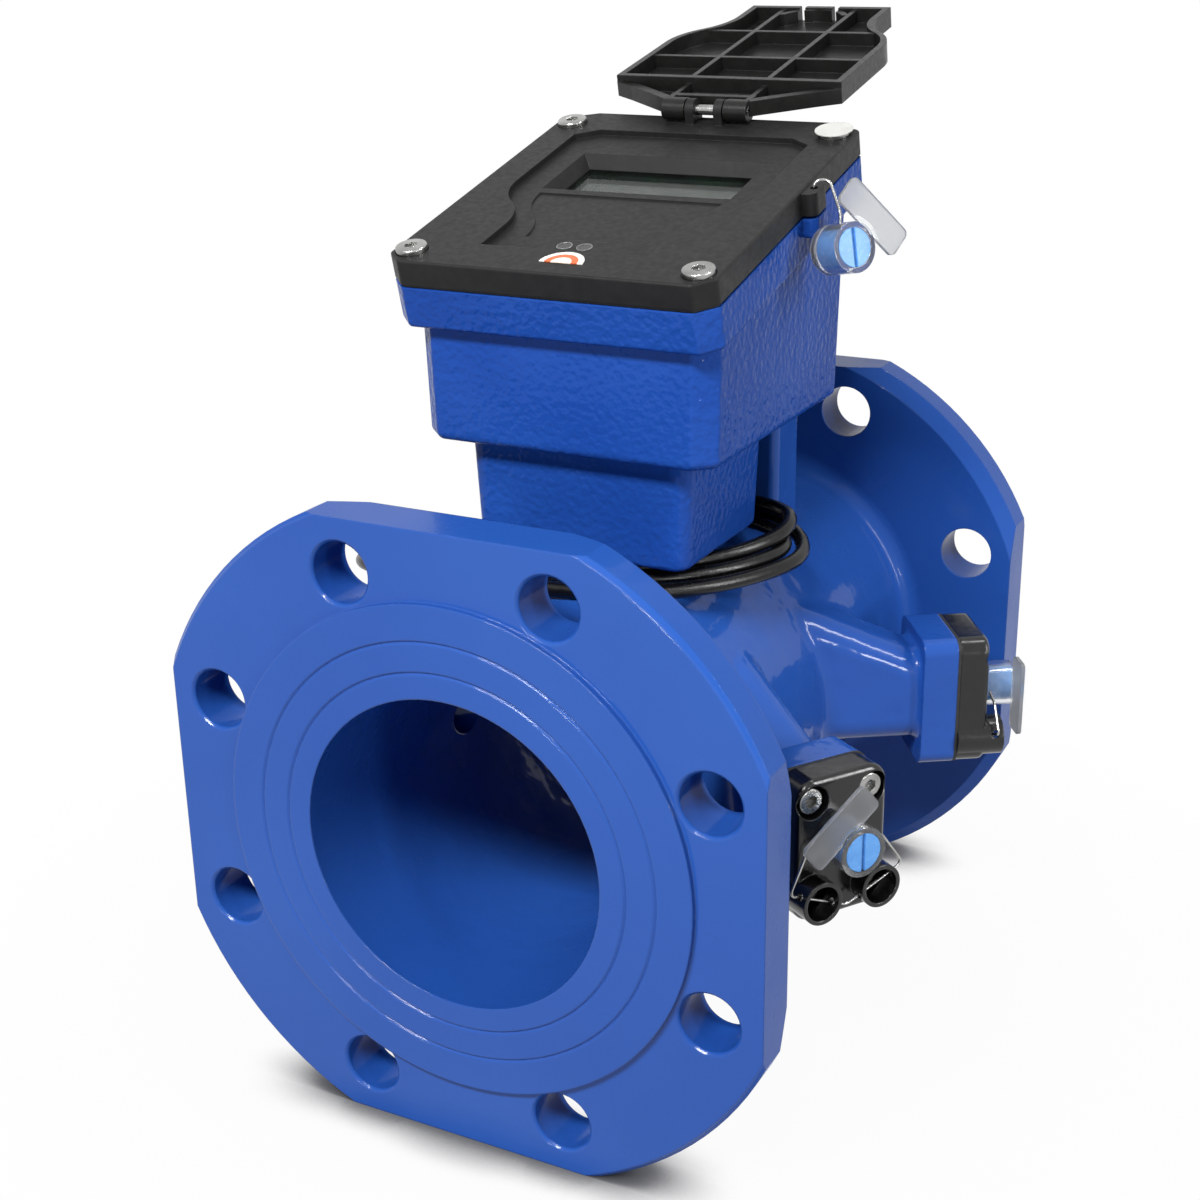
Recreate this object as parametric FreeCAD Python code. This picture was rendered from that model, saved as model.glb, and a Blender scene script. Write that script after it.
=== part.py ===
"""Ultrasonic water meter for a flanged pipe.

A cast body with four transducer arms carries a sloping display housing on a pedestal.
A flip lid covers the display, wire seals lock the covers and a signal cable lies coiled
round the housing's lower compartment. Millimetres, origin at the centre of the bore,
Y along the pipe with the near flange at -Y, Z up.
"""
import FreeCAD
import Part
import math
import os
from FreeCAD import Placement, Rotation, Vector

# Pipe body
FACE_TO_FACE = 250.0
BORE_R = 50.0
BARREL_R = 61.0
HUB_FILLET = 7.0
FLANGE_R = 110.0
FLAT_DEPTH = 10.0
FLANGE_T = 17.0
FLANGE_EDGE = 1.5
FLANGE_BACK_EDGE = 4.5
RAISED_MARGIN = 1.5
RAISED_T = 2.0
FIRST_GROOVE = 8.0
SECOND_GROOVE = 17.5
GROOVE_W = 1.2
GROOVE_DEPTH = 0.6
BOLT_EDGE = 20.0
BOLT_HOLE_R = 9.5
BOLT_COUNT = 8
BOLT_CHAMFER = 0.9

# Transducer arms, measured along each arm from the centre of the bore
ARM_ANGLE = 33.4
ARM_HALF_W = 13.6
ARM_BOTTOM = -15.0
ARM_TOP = 17.0
ARM_RISE = 0.46
ARM_ROOT = 30.0
ARM_CORNER = 9.0
ARM_FOOT = 7.0
ARM_NECK = 2.2
ARM_LENGTH = 24.23
PLATE_T = 12.0
PLATE_HALF_W = 16.1
PLATE_HALF_H = 23.2
PLATE_CORNER = 5.0
SOCKET_R = 11.5
SOCKET_WALL = 2.0
PORT_R = 7.0
NOSE_SETBACK = 0.4
RING_SETBACK = 8.3
RING_R = 1.05
RING_GROOVE_W = 2.5

# Transducer covers
THIN_GASKET = 1.0
GASKET_LAP = 1.0
CAP_T = 10.3
CAP_EDGE = 2.0
CAP_CORNER = 6.0
CAP_SCREW_Y = 10.6
CAP_SCREW_UPPER_Z = 16.0
CAP_SCREW_LOWER_Z = -14.4
CAP_FLOOR = 3.5
CUP_R = 6.9
CUP_BORE_R = 5.6
CUP_OUT = 6.1
SCREW_R = 2.0
SCREW_GRIP = 8.0
SCREW_HEAD_R = 4.1
SCREW_HEAD_H = 4.6
SCREW_HEX = 2.1
COUNTERBORE_R = 5.3
HEAD_BELOW_FACE = 1.2

# Display housing, three steps from the rim down
SLOPE = 14.24
COVER_Y = -1.13
COVER_LIFT = 74.41
COVER_HALF_W = 55.0
COVER_HALF_L = 63.8
COVER_T = 8.0
COVER_FRONT_CHAMFER = 5.9
COVER_BACK_CHAMFER_X = 11.8
COVER_BACK_CHAMFER_U = 5.7
COVER_EDGE = 0.8
RIM_DEPTH = 13.5
UPPER_SIDE_SETBACK = 4.5
UPPER_FRONT_SETBACK = 12.93
UPPER_BACK_SETBACK = 5.67
UPPER_CHAMFER = 6.5
UPPER_DRAFT = 0.02
UPPER_EDGE = 3.0
CORNER_ROUND = 2.0
RIM_EDGE = 1.5
LOWER_SIDE_SETBACK = 13.1
LOWER_FRONT_SETBACK = 10.0
LOWER_BACK_SETBACK = 39.5
LOWER_LIFT = 6.0
LOWER_H = 36.5
LOWER_CORNER = 6.0
LOWER_DRAFT = 0.035
LOWER_EDGE = 2.5
WALL = 4.0
CAVITY_CHAMFER = 8.0
COVER_GASKET_OUT = 0.8
COVER_GASKET_W = 2.8

# Pedestal on the body under the housing
PEDESTAL_HALF_W = 35.5
PEDESTAL_T = 20.5
PEDESTAL_CORNER = 3.0
PEDESTAL_FOOT = 6.0
HOUSING_BOLT_R = 3.0
HOUSING_BOLT_SIDE = 11.5
HOUSING_BOLT_SETBACK = 9.5
HOUSING_BOLT_GRIP = 14.0
HOUSING_BOLT_HEAD_R = 5.0
HOUSING_BOLT_HEAD_H = 6.0
HOUSING_BOLT_HEX = 2.7

# Cover furniture, in the cover's own frame: x across, u up the slope, n out of the face
POCKET_DEPTH = 2.0
POCKET_GAP = 0.7
WINDOW_SIDE = 21.7
WINDOW_LOW = 1.0
WINDOW_HIGH = 31.5
BEZEL_SLOPE = 3.0
LENS_T = 1.5
LENS_LAP = 4.0
LCD_GAP = 0.2
LABEL_HIGH = -2.5
LABEL_LOW = -36.0
LABEL_SIDE = 10.0
LABEL_NARROWING = 12.5
LABEL_DEPTH = 0.5
IR_X = 3.4
IR_U = -40.5
IR_R = 2.6
IR_T = 3.0
COVER_SCREW_SIDE = 6.7
COVER_SCREW_FRONT = 8.0
COVER_SCREW_BACK = 11.4
COVER_SCREW_R = 2.4
COVER_SCREW_HEAD_R = 5.0
COVER_SCREW_HEAD_H = 2.8
COVER_SCREW_SINK = 1.0
COVER_SCREW_LENGTH = 18.0
COVER_SCREW_HEX = 2.25
STICKER_T = 0.3
WHITE_STICKER_R = 6.3
RING_STICKER_R = 7.2
RING_STICKER_X = 3.8
RING_STICKER_FRONT = 7.4
EYE_U = 11.0
EYE_HALF_L = 5.5
EYE_OUT = 4.5
EYE_ROUND = 2.7
EYE_ROOT = 1.0
EYE_LOW = 15.0
EYE_HOLE_R = 1.2
EYE_HOLE_OUT = 2.2

# Electronics
BOARD_T = 1.6
BOARD_DEPTH = 11.0
BOARD_SIDE = 5.5
BOARD_FRONT = 22.8
BOARD_BACK = 21.3
BOSS_R = 3.5
BOSS_SIDE = 4.0
BOSS_FRONT = 5.0
BOSS_BACK = 4.0
BOARD_SCREW_R = 1.2
BOARD_SCREW_GRIP = 6.0
BOARD_SCREW_HEAD_R = 2.6
BOARD_SCREW_HEAD_H = 1.8
BOARD_SCREW_HEX = 1.2
BOARD_SCREW_ROOM = 0.5
CELL_R = 16.5
CELL_END_GAP = 2.9
CELL_TIP_R = 4.1
CELL_TIP = 2.0
CELL_LIFT = 2.0
CRADLE_HALF_L = 20.0
CRADLE_HALF_W = 14.0
CRADLE_H = 8.0

# Flip lid, measured from the hinge axis: s away from it, h out of the cover
HINGE_SETBACK = 4.0
HINGE_N = 4.0
KNUCKLE_R = 3.7
PIN_R = 1.75
PIN_CLEARANCE = 0.05
EAR_IN = 3.75
EAR_OUT = 6.75
LUG_IN = 7.25
LUG_OUT = 15.5
LID_START = 12.4
LID_SHOULDER = 16.8
LID_SHOULDER_W = 7.5
LID_SIDE = 13.0
LID_NECK_L = 34.0
LID_END_L = 15.0
LID_NARROWING = 14.4
LID_FRONT = 16.6
LID_SEAT_GAP = 0.5
LID_SKIN = 2.0
LID_OUTER = -1.8
LID_TILT = 2.2
LID_WALL = 2.4
LID_RIB_W = 1.8
LID_RIB_H = 4.6
LID_CROSS_WALL = 7.0
LID_LOW_WALL = 3.3
LID_ROOM = 0.8
LID_FIRST_RIB = 31.6
LID_RIB_PITCH = 32.0
LID_CROSS_RIBS = 2
LID_RIB_X = 14.2
LID_SCOOP_DEPTH = 9.0
LID_TAB_HALF_W = 6.6
LID_SLIT_W = 2.2

# Wire seals
SEAL_R = 7.8
SEAL_L = 12.0
SEAL_FLOOR = 2.0
ROTOR_R = 6.0
ROTOR_GAP = 0.2
ROTOR_SLOT_W = 1.2
ROTOR_SLOT_DEPTH = 1.0
FLAG_L = 26.6
FLAG_W = 9.8
FLAG_T = 1.3
FLAG_CORNER = 2.0
FLAG_PLACE = 10.2
FLAG_OFFSET = 12.2
SEAL_WIRE_R = 0.45
WIRE_HOLE_R = 1.35
WIRE_BEND = 0.15
WIRE_RISE = 4.1
WIRE_REACH = 3.0
WIRE_SIDE = 6.0
WIRE_DIP = 2.0
WIRE_OVER = 1.5
WIRE_ACROSS_X = 4.0
WIRE_ACROSS_U = 3.0
WIRE_ACROSS_N = 1.0
WIRE_ENTRY = 3.0
SEAL_STAND_OFF = 0.6
FRONT_SEAL_Y = -1.5
FRONT_SEAL_Z = 3.2
FRONT_FLAG_ANGLE = 128.4
BACK_SEAL_Z = 0.5
BACK_FLAG_ANGLE = 180.0
COVER_SEAL_OUT = 9.0
COVER_SEAL_BACK = 8.83
COVER_SEAL_DROP = 16.41
COVER_SEAL_YAW = -31.4
COVER_SEAL_TILT = -12.2
COVER_FLAG_ANGLE = 43.7

# Signal cable, with the lead as places from the mouth of its gland
CABLE_R = 2.5
GLAND_X = -5.0
GLAND_BACK = 9.5
GLAND_THREAD_R = 5.8
GLAND_HEX_R = 7.6
GLAND_HEX_H = 4.5
GLAND_DOME_R = 6.0
GLAND_DOME_H = 5.5
GLAND_MOUTH_R = 4.0
GLAND_NUT_H = 4.0
LEAD_BEND = 0.45
LEAD_ROUTE = ((0, 0, 0), (0, 0, -8), (-3.2, 0.2, -16), (-9.6, 0.7, -22), (-18.4, 1.3, -24.8), (-28, 0, -26),
              (-38.5, -5.5, -30.5))
COIL_X = -11.0
COIL_Y = -18.0
COIL_MAJOR_R = 74.0
COIL_MINOR_R = 47.5
COIL_TURN = 34.0
COIL_W = 19.0
COIL_LOW = 56.0
COIL_HIGH = 73.0
COIL_GAP = 0.2

# Play between fitted pieces, how far cutters run past a face, and a length past every piece
FIT = 0.1
OVERCUT = 1.0
BEYOND = FACE_TO_FACE
EPS = 0.01
HEAD_ROUNDING = 0.125
X_AXIS = Vector(1, 0, 0)
Y_AXIS = Vector(0, 1, 0)
Z_AXIS = Vector(0, 0, 1)

# Places that follow from the sizes above
HALF_LENGTH = FACE_TO_FACE / 2
FLANGE_FRONT = HALF_LENGTH - RAISED_T
FLANGE_BACK = FLANGE_FRONT - FLANGE_T
FLANGE_FLAT = FLANGE_R - FLAT_DEPTH
BOLT_CIRCLE_R = FLANGE_R - BOLT_EDGE
RAISED_R = BOLT_CIRCLE_R - BOLT_HOLE_R - RAISED_MARGIN
GROOVE_RADII = (BORE_R + FIRST_GROOVE, BORE_R + SECOND_GROOVE)
ARM_COS = math.cos(math.radians(ARM_ANGLE))
ARM_SIN = math.sin(math.radians(ARM_ANGLE))
PLATE_START = BARREL_R / ARM_COS + ARM_LENGTH
NOSE_START = (BORE_R + NOSE_SETBACK + PORT_R * ARM_SIN) / ARM_COS
SOCKET_START = (BORE_R + SOCKET_WALL + SOCKET_R * ARM_SIN) / ARM_COS
PLATE_FACE = PLATE_START + PLATE_T
RING_PLACE = PLATE_FACE - RING_SETBACK
CAP_BACK = PLATE_FACE + THIN_GASKET
CAP_FACE = CAP_BACK + CAP_T
LOWER_BOTTOM = BARREL_R + LOWER_LIFT
UPPER_BOTTOM = LOWER_BOTTOM + LOWER_H
COVER_Z = UPPER_BOTTOM + COVER_LIFT
UPPER_HALF_W = COVER_HALF_W - UPPER_SIDE_SETBACK
UPPER_FRONT = COVER_Y - COVER_HALF_L + UPPER_FRONT_SETBACK
UPPER_BACK = COVER_Y + COVER_HALF_L - UPPER_BACK_SETBACK
LOWER_HALF_W = UPPER_HALF_W - LOWER_SIDE_SETBACK
LOWER_FRONT = UPPER_FRONT + LOWER_FRONT_SETBACK
LOWER_BACK = UPPER_BACK - LOWER_BACK_SETBACK
PEDESTAL_BACK = UPPER_BACK
PEDESTAL_FRONT = PEDESTAL_BACK - PEDESTAL_T
PEDESTAL_TOP = UPPER_BOTTOM - THIN_GASKET
HOUSING_BOLT_Y = PEDESTAL_FRONT + HOUSING_BOLT_SETBACK
HOUSING_BOLT_SPACING = PEDESTAL_HALF_W - HOUSING_BOLT_SIDE
RIM_TOP = -COVER_T - THIN_GASKET
RIM_BOTTOM = RIM_TOP - RIM_DEPTH
BOARD_TOP = -COVER_T - BOARD_DEPTH
LENS_TOP = -COVER_T + LENS_T
WINDOW_HALF_W = COVER_HALF_W - WINDOW_SIDE
COVER_SCREW_X = COVER_HALF_W - COVER_SCREW_SIDE
COVER_SCREW_FRONT_U = COVER_SCREW_FRONT - COVER_HALF_L
COVER_SCREW_BACK_U = COVER_HALF_L - COVER_SCREW_BACK
RING_STICKER_U = RING_STICKER_FRONT - COVER_HALF_L
BOARD_HALF_W = UPPER_HALF_W - WALL - BOARD_SIDE
BOARD_LOW = BOARD_FRONT - COVER_HALF_L
BOARD_HIGH = COVER_HALF_L - BOARD_BACK
BOSS_X = BOARD_HALF_W - BOSS_SIDE
BOSS_LOW = BOARD_LOW + BOSS_FRONT
BOSS_HIGH = BOARD_HIGH - BOSS_BACK
CELL_Y = (LOWER_FRONT + LOWER_BACK) / 2
CELL_L = 2 * (LOWER_HALF_W - WALL - CELL_END_GAP)
HINGE_U = COVER_HALF_L - HINGE_SETBACK
LID_HALF_W = COVER_HALF_W - LID_SIDE
LID_START_HALF_W = LID_HALF_W - LID_SHOULDER_W
LID_END_HALF_W = LID_HALF_W - LID_NARROWING
LID_END = HINGE_U + COVER_HALF_L - LID_FRONT
LID_NECK_END = LID_END - LID_END_L
LID_NECK_START = LID_NECK_END - LID_NECK_L
LID_SCOOP_START = LID_END - LID_SCOOP_DEPTH
LABEL_HALF_HIGH = LID_HALF_W - LABEL_SIDE
LABEL_HALF_LOW = LABEL_HALF_HIGH - LABEL_NARROWING
LID_RIM = HINGE_N + POCKET_DEPTH - LID_SEAT_GAP
LID_WALL_S = LID_START + LID_CROSS_WALL
FLOOR_TOP = UPPER_BOTTOM + WALL
GLAND_Y = LOWER_BACK + GLAND_BACK
CORNER_INSET = 2 - math.sqrt(2)
COVER_FRAME = Placement(Vector(0, COVER_Y, COVER_Z), Rotation(X_AXIS, SLOPE))
HINGE_FRAME = COVER_FRAME.multiply(Placement(Vector(0, HINGE_U, HINGE_N), Rotation()))
LID_FRAME = HINGE_FRAME.multiply(Placement(Vector(0, 0, 0), Rotation(X_AXIS, -LID_TILT)))
ARMS = {
    "front_right": -ARM_ANGLE,
    "back_right": ARM_ANGLE,
    "front_left": 180 + ARM_ANGLE,
    "back_left": 180 - ARM_ANGLE,
}


def placed(shape, frame):
    """A copy of a shape moved into a frame."""
    moved = shape.copy()
    moved.Placement = frame.multiply(moved.Placement)
    return moved


def arm_frame(angle):
    """Frame of one arm: X along its axis from the bore, Y across, Z up."""
    return Placement(Vector(0, 0, 0), Rotation(Z_AXIS, angle))


def block(x, y, z):
    """Box from three (low, high) pairs."""
    return Part.makeBox(x[1] - x[0], y[1] - y[0], z[1] - z[0], Vector(x[0], y[0], z[0]))


def rod(radius, start, axis, length):
    """Cylinder from a start point along an axis."""
    return Part.makeCylinder(radius, length, start, axis)


def prism(points, low, high):
    """Polygon in the XY plane drawn up from one height to another."""
    corners = [Vector(x, y, low) for x, y in points]
    return Part.Face(Part.makePolygon(corners + corners[:1])).extrude(Vector(0, 0, high - low))


def straight_edges(shape, axis):
    """Straight edges of a shape that run along an axis."""
    found = []
    for edge in shape.Edges:
        if isinstance(edge.Curve, Part.Line) and edge.Curve.Direction.cross(axis).Length < EPS:
            found.append(edge)
    return found


def edges_at_height(shape, height):
    """Edges that lie wholly at one height."""
    found = []
    for edge in shape.Edges:
        box = edge.BoundBox
        if abs(box.ZMin - height) + abs(box.ZMax - height) < EPS:
            found.append(edge)
    return found


def rounded_block(x, y, z, radius, axis):
    """Box whose edges along one axis are rounded."""
    box = block(x, y, z)
    return box.makeFillet(radius, straight_edges(box, axis))


def rounded_wire(x, y, radius, height):
    """Closed rounded rectangle at one height."""
    slab = rounded_block(x, y, (height, height + OVERCUT), radius, Z_AXIS)
    return Part.Wire(Part.__sortEdges__(edges_at_height(slab, height)))


def fused(shapes):
    """One solid made of overlapping shapes."""
    return shapes[0].multiFuse(shapes[1:]).removeSplitter()


def hex_prism(radius, start, axis, length):
    """Hexagonal prism from a start point along an axis."""
    turns = [math.radians(60 * k) for k in range(6)]
    corners = [(radius * math.cos(t), radius * math.sin(t)) for t in turns]
    return placed(prism(corners, 0, length), Placement(start, Rotation(Z_AXIS, axis)))


def socket_screw(head_r, head_h, shank_r, shank_l, hex_r):
    """Socket head screw along Z with the underside of its head at the origin."""
    head = rod(head_r, Vector(0, 0, 0), Z_AXIS, head_h)
    head = head.makeFillet(HEAD_ROUNDING * head_r, edges_at_height(head, head_h))
    shank = rod(shank_r, Vector(0, 0, -shank_l), Z_AXIS, shank_l)
    depth = head_h / 2
    return head.fuse(shank).cut(hex_prism(hex_r, Vector(0, 0, head_h - depth), Z_AXIS, depth + OVERCUT))


def route_edges(points, bend):
    """Straight runs joined by tangent arcs that take up a share of the shorter run, and their radii."""
    edges = []
    radii = []
    start = points[0]
    for before, corner, after in zip(points, points[1:], points[2:]):
        into = corner - before
        out = after - corner
        cut = bend * min(into.Length, out.Length)
        half_turn = into.getAngle(out) / 2
        into.normalize()
        out.normalize()
        radius = cut / math.tan(half_turn)
        arc_start = corner - into * cut
        arc_end = corner + out * cut
        bisector = (out - into).normalize()
        middle = corner + bisector * (radius / math.cos(half_turn) - radius)
        edges.append(Part.LineSegment(start, arc_start).toShape())
        edges.append(Part.Arc(arc_start, middle, arc_end).toShape())
        radii.append(radius)
        start = arc_end
    edges.append(Part.LineSegment(start, points[-1]).toShape())
    return edges, radii


def tube(points, radius, bend):
    """Round tube along a route."""
    edges, radii = route_edges(points, bend)
    path = Part.Wire(edges)
    section = Part.Wire(Part.makeCircle(radius, points[0], points[1] - points[0]))
    solid = path.makePipeShell([section], True, True)
    return solid, radii, path.Length


def flange_half_profile():
    """Half of the body's outline from the end face to the middle, as (radius, y) steps."""
    steps = [(0, -HALF_LENGTH)]
    for groove in GROOVE_RADII:
        steps.append((groove - GROOVE_W / 2, -HALF_LENGTH))
        steps.append((groove, GROOVE_DEPTH - HALF_LENGTH))
        steps.append((groove + GROOVE_W / 2, -HALF_LENGTH))
    steps.append((RAISED_R, -HALF_LENGTH))
    steps.append((RAISED_R, -FLANGE_FRONT))
    steps.append((FLANGE_R - FLANGE_EDGE, -FLANGE_FRONT))
    steps.append((FLANGE_R, FLANGE_EDGE - FLANGE_FRONT))
    steps.append((FLANGE_R, -FLANGE_BACK - FLANGE_BACK_EDGE))
    steps.append((FLANGE_R - FLANGE_BACK_EDGE, -FLANGE_BACK))
    steps.append((BARREL_R + HUB_FILLET, -FLANGE_BACK))
    return [Vector(r, y, 0) for r, y in steps]


def spool():
    """Barrel with its two flanges, turned in one piece, with flats on the flanges."""
    near = flange_half_profile()
    far = [Vector(p.x, -p.y, 0) for p in reversed(near)]
    corner = HUB_FILLET * (1 - math.sqrt(0.5))
    near_end = Vector(BARREL_R, HUB_FILLET - FLANGE_BACK, 0)
    far_end = Vector(BARREL_R, FLANGE_BACK - HUB_FILLET, 0)
    near_middle = Vector(BARREL_R + corner, corner - FLANGE_BACK, 0)
    far_middle = Vector(BARREL_R + corner, FLANGE_BACK - corner, 0)
    edges = list(Part.makePolygon(near).Edges)
    edges.append(Part.Arc(near[-1], near_middle, near_end).toShape())
    edges.append(Part.LineSegment(near_end, far_end).toShape())
    edges.append(Part.Arc(far_end, far_middle, far[0]).toShape())
    edges.extend(Part.makePolygon(far).Edges)
    edges.append(Part.LineSegment(far[-1], near[0]).toShape())
    turned = Part.Face(Part.Wire(edges)).revolve(Vector(0, 0, 0), Y_AXIS, 360)
    turned.rotate(Vector(0, 0, 0), Y_AXIS, 90)
    flats = (-FLANGE_FLAT, FLANGE_FLAT)
    return turned.common(block(flats, (-HALF_LENGTH - OVERCUT, HALF_LENGTH + OVERCUT), flats))


def pedestal():
    """Square column that carries the housing."""
    sides = (-PEDESTAL_HALF_W, PEDESTAL_HALF_W)
    depth = (PEDESTAL_FRONT, PEDESTAL_BACK)
    inside = BORE_R / 2
    return rounded_block(sides, depth, (inside, PEDESTAL_TOP), PEDESTAL_CORNER, Z_AXIS)


def on_pedestal_foot(edge):
    """True for the edges where the pedestal meets the barrel."""
    box = edge.BoundBox
    across = box.XMax < PEDESTAL_HALF_W + EPS
    along = box.YMin > PEDESTAL_FRONT - EPS and box.YMax < PEDESTAL_BACK + EPS
    return across and along and box.ZMax < BARREL_R + EPS and box.ZMin > 0


def arm():
    """One arm and its end plate, along its own axis."""
    rise = ARM_RISE * (PLATE_START - ARM_ROOT)
    end = PLATE_START + OVERCUT
    side = [(ARM_ROOT, ARM_BOTTOM), (end, ARM_BOTTOM)]
    side += [(end, ARM_TOP - ARM_RISE * OVERCUT), (ARM_ROOT, ARM_TOP + rise)]
    corners = [Vector(s, -ARM_HALF_W, z) for s, z in side]
    beam = Part.Face(Part.makePolygon(corners + corners[:1])).extrude(Vector(0, 2 * ARM_HALF_W, 0))
    slanted = Vector(-1, 0, ARM_RISE).normalize()
    beam = beam.makeFillet(ARM_CORNER, straight_edges(beam, slanted) + straight_edges(beam, X_AXIS))
    solid = beam.fuse(end_plate(PLATE_START, PLATE_T, PLATE_CORNER))
    return solid.makeFillet(ARM_NECK, [e for e in solid.Edges if on_arm_neck(e)])


def on_arm_neck(edge):
    """True for the edges where an arm meets the back of its end plate."""
    box = edge.BoundBox
    flat = box.XMax - box.XMin < EPS and abs(box.XMax - PLATE_START) < EPS
    return flat and box.ZMin > ARM_BOTTOM - EPS and box.ZMax < ARM_TOP + EPS


def on_arm_foot(edge):
    """True for the edges where the arms meet the barrel."""
    box = edge.BoundBox
    outside = max(box.XMin, -box.XMax) > PEDESTAL_HALF_W + PEDESTAL_FOOT
    middle = edge.valueAt((edge.FirstParameter + edge.LastParameter) / 2)
    return outside and abs(math.hypot(middle.x, middle.z) - BARREL_R) < EPS


def end_plate(start, thickness, corner):
    """Upright plate across an arm's axis."""
    width = (-PLATE_HALF_W, PLATE_HALF_W)
    height = (-PLATE_HALF_H, PLATE_HALF_H)
    return rounded_block((start, start + thickness), width, height, corner, X_AXIS)


def cap_screw_places():
    """Across and up places of a transducer cover's screws, with the depth of each seat."""
    places = []
    for y in (-CAP_SCREW_Y, CAP_SCREW_Y):
        places.append((y, CAP_SCREW_UPPER_Z, CAP_FACE - HEAD_BELOW_FACE - SCREW_HEAD_H))
        places.append((y, CAP_SCREW_LOWER_Z, CAP_BACK + CAP_FLOOR))
    return places


def screw_holes(radius, deepest):
    """Cutters for the shanks of a transducer cover's screws."""
    length = CAP_FACE - deepest + CUP_OUT
    return [rod(radius, Vector(deepest, y, z), X_AXIS, length) for y, z, seat in cap_screw_places()]


def arm_cuts():
    """Socket, sound port and screw holes of one arm."""
    cuts = [rod(SOCKET_R, Vector(SOCKET_START, 0, 0), X_AXIS, PLATE_FACE - SOCKET_START + OVERCUT)]
    cuts.append(rod(PORT_R, Vector(ARM_ROOT, 0, 0), X_AXIS, SOCKET_START - ARM_ROOT + OVERCUT))
    return cuts + screw_holes(SCREW_R + FIT, PLATE_FACE - SCREW_GRIP - OVERCUT)


def flange_bolt_holes():
    """Through holes of both flanges with a chamfer on the gasket side."""
    cuts = []
    step = 360 / BOLT_COUNT
    wide = BOLT_HOLE_R + BOLT_CHAMFER
    for k in range(BOLT_COUNT):
        turn = math.radians((k + 0.5) * step)
        x = BOLT_CIRCLE_R * math.cos(turn)
        z = BOLT_CIRCLE_R * math.sin(turn)
        for end in (-1, 1):
            inward = Vector(0, -end, 0)
            outside = Vector(x, end * HALF_LENGTH, z)
            mouth = Vector(x, end * FLANGE_FRONT, z)
            cuts.append(rod(BOLT_HOLE_R, outside, inward, RAISED_T + FLANGE_T + OVERCUT))
            cuts.append(Part.makeCone(wide, BOLT_HOLE_R, BOLT_CHAMFER, mouth, inward))
    return cuts


def housing_bolt_holes(radius, low, high):
    """Upright holes on the line of the housing's bolts."""
    places = (-HOUSING_BOLT_SPACING, 0, HOUSING_BOLT_SPACING)
    return [rod(radius, Vector(x, HOUSING_BOLT_Y, low), Z_AXIS, high - low) for x in places]


def meter_body():
    """The casting: spool, pedestal and four arms, bored and drilled."""
    stem = spool().fuse(pedestal())
    stem = stem.makeFillet(PEDESTAL_FOOT, [e for e in stem.Edges if on_pedestal_foot(e)])
    arms = [placed(arm(), arm_frame(angle)) for angle in ARMS.values()]
    solid = stem.multiFuse(arms)
    solid = solid.makeFillet(ARM_FOOT, [e for e in solid.Edges if on_arm_foot(e)])
    cuts = [rod(BORE_R, Vector(0, -HALF_LENGTH - OVERCUT, 0), Y_AXIS, FACE_TO_FACE + 2 * OVERCUT)]
    cuts += flange_bolt_holes()
    deepest = PEDESTAL_TOP - HOUSING_BOLT_GRIP - OVERCUT
    cuts += housing_bolt_holes(HOUSING_BOLT_R + FIT, deepest, PEDESTAL_TOP + OVERCUT)
    for angle in ARMS.values():
        cuts += [placed(cut, arm_frame(angle)) for cut in arm_cuts()]
    return solid.cut(cuts).removeSplitter()


def transducer():
    """Sensor with a nose in the sound port and a groove for its ring."""
    body = rod(SOCKET_R - FIT, Vector(SOCKET_START, 0, 0), X_AXIS, PLATE_FACE - SOCKET_START)
    nose = rod(PORT_R - FIT, Vector(NOSE_START, 0, 0), X_AXIS, SOCKET_START - NOSE_START)
    start = Vector(RING_PLACE - RING_GROOVE_W / 2, 0, 0)
    groove = rod(SOCKET_R + OVERCUT, start, X_AXIS, RING_GROOVE_W)
    groove = groove.cut(rod(SOCKET_R - FIT - 2 * RING_R, start, X_AXIS, RING_GROOVE_W))
    return body.fuse(nose).cut(groove)


def transducer_ring():
    """Rubber ring in the transducer's groove."""
    return Part.makeTorus(SOCKET_R - FIT - RING_R, RING_R, Vector(RING_PLACE, 0, 0), X_AXIS)


def transducer_gasket():
    """Flat gasket between an arm's end plate and its cover."""
    sheet = end_plate(PLATE_FACE, THIN_GASKET, PLATE_CORNER)
    start = PLATE_FACE - OVERCUT
    window = rod(SOCKET_R - GASKET_LAP, Vector(start, 0, 0), X_AXIS, THIN_GASKET + 2 * OVERCUT)
    return sheet.cut([window] + screw_holes(SCREW_R + FIT, start))


def transducer_cover():
    """Moulded cover with sunk upper screws and two cups round the lower ones."""
    cap = end_plate(CAP_BACK, CAP_T, CAP_CORNER)
    front = [e for e in cap.Edges if e.BoundBox.XMin > CAP_FACE - EPS]
    cap = cap.makeFillet(CAP_EDGE, front)
    cups = []
    behind = CAP_BACK - OVERCUT
    cuts = [rod(SOCKET_R - GASKET_LAP, Vector(behind, 0, 0), X_AXIS, CAP_T / 2 + OVERCUT)]
    for y, z, seat in cap_screw_places():
        lower = z < 0
        radius = CUP_BORE_R if lower else COUNTERBORE_R
        if lower:
            cups.append(rod(CUP_R, Vector(CAP_BACK, y, z), X_AXIS, CAP_T + CUP_OUT))
        cuts.append(rod(radius, Vector(seat, y, z), X_AXIS, CAP_FACE - seat + CUP_OUT + OVERCUT))
    for start, end in cup_wire_runs():
        cuts.append(rod(WIRE_HOLE_R, start, end - start, (end - start).Length))
    cuts += screw_holes(SCREW_R + FIT, behind)
    return fused([cap] + cups).cut(cuts)


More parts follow.
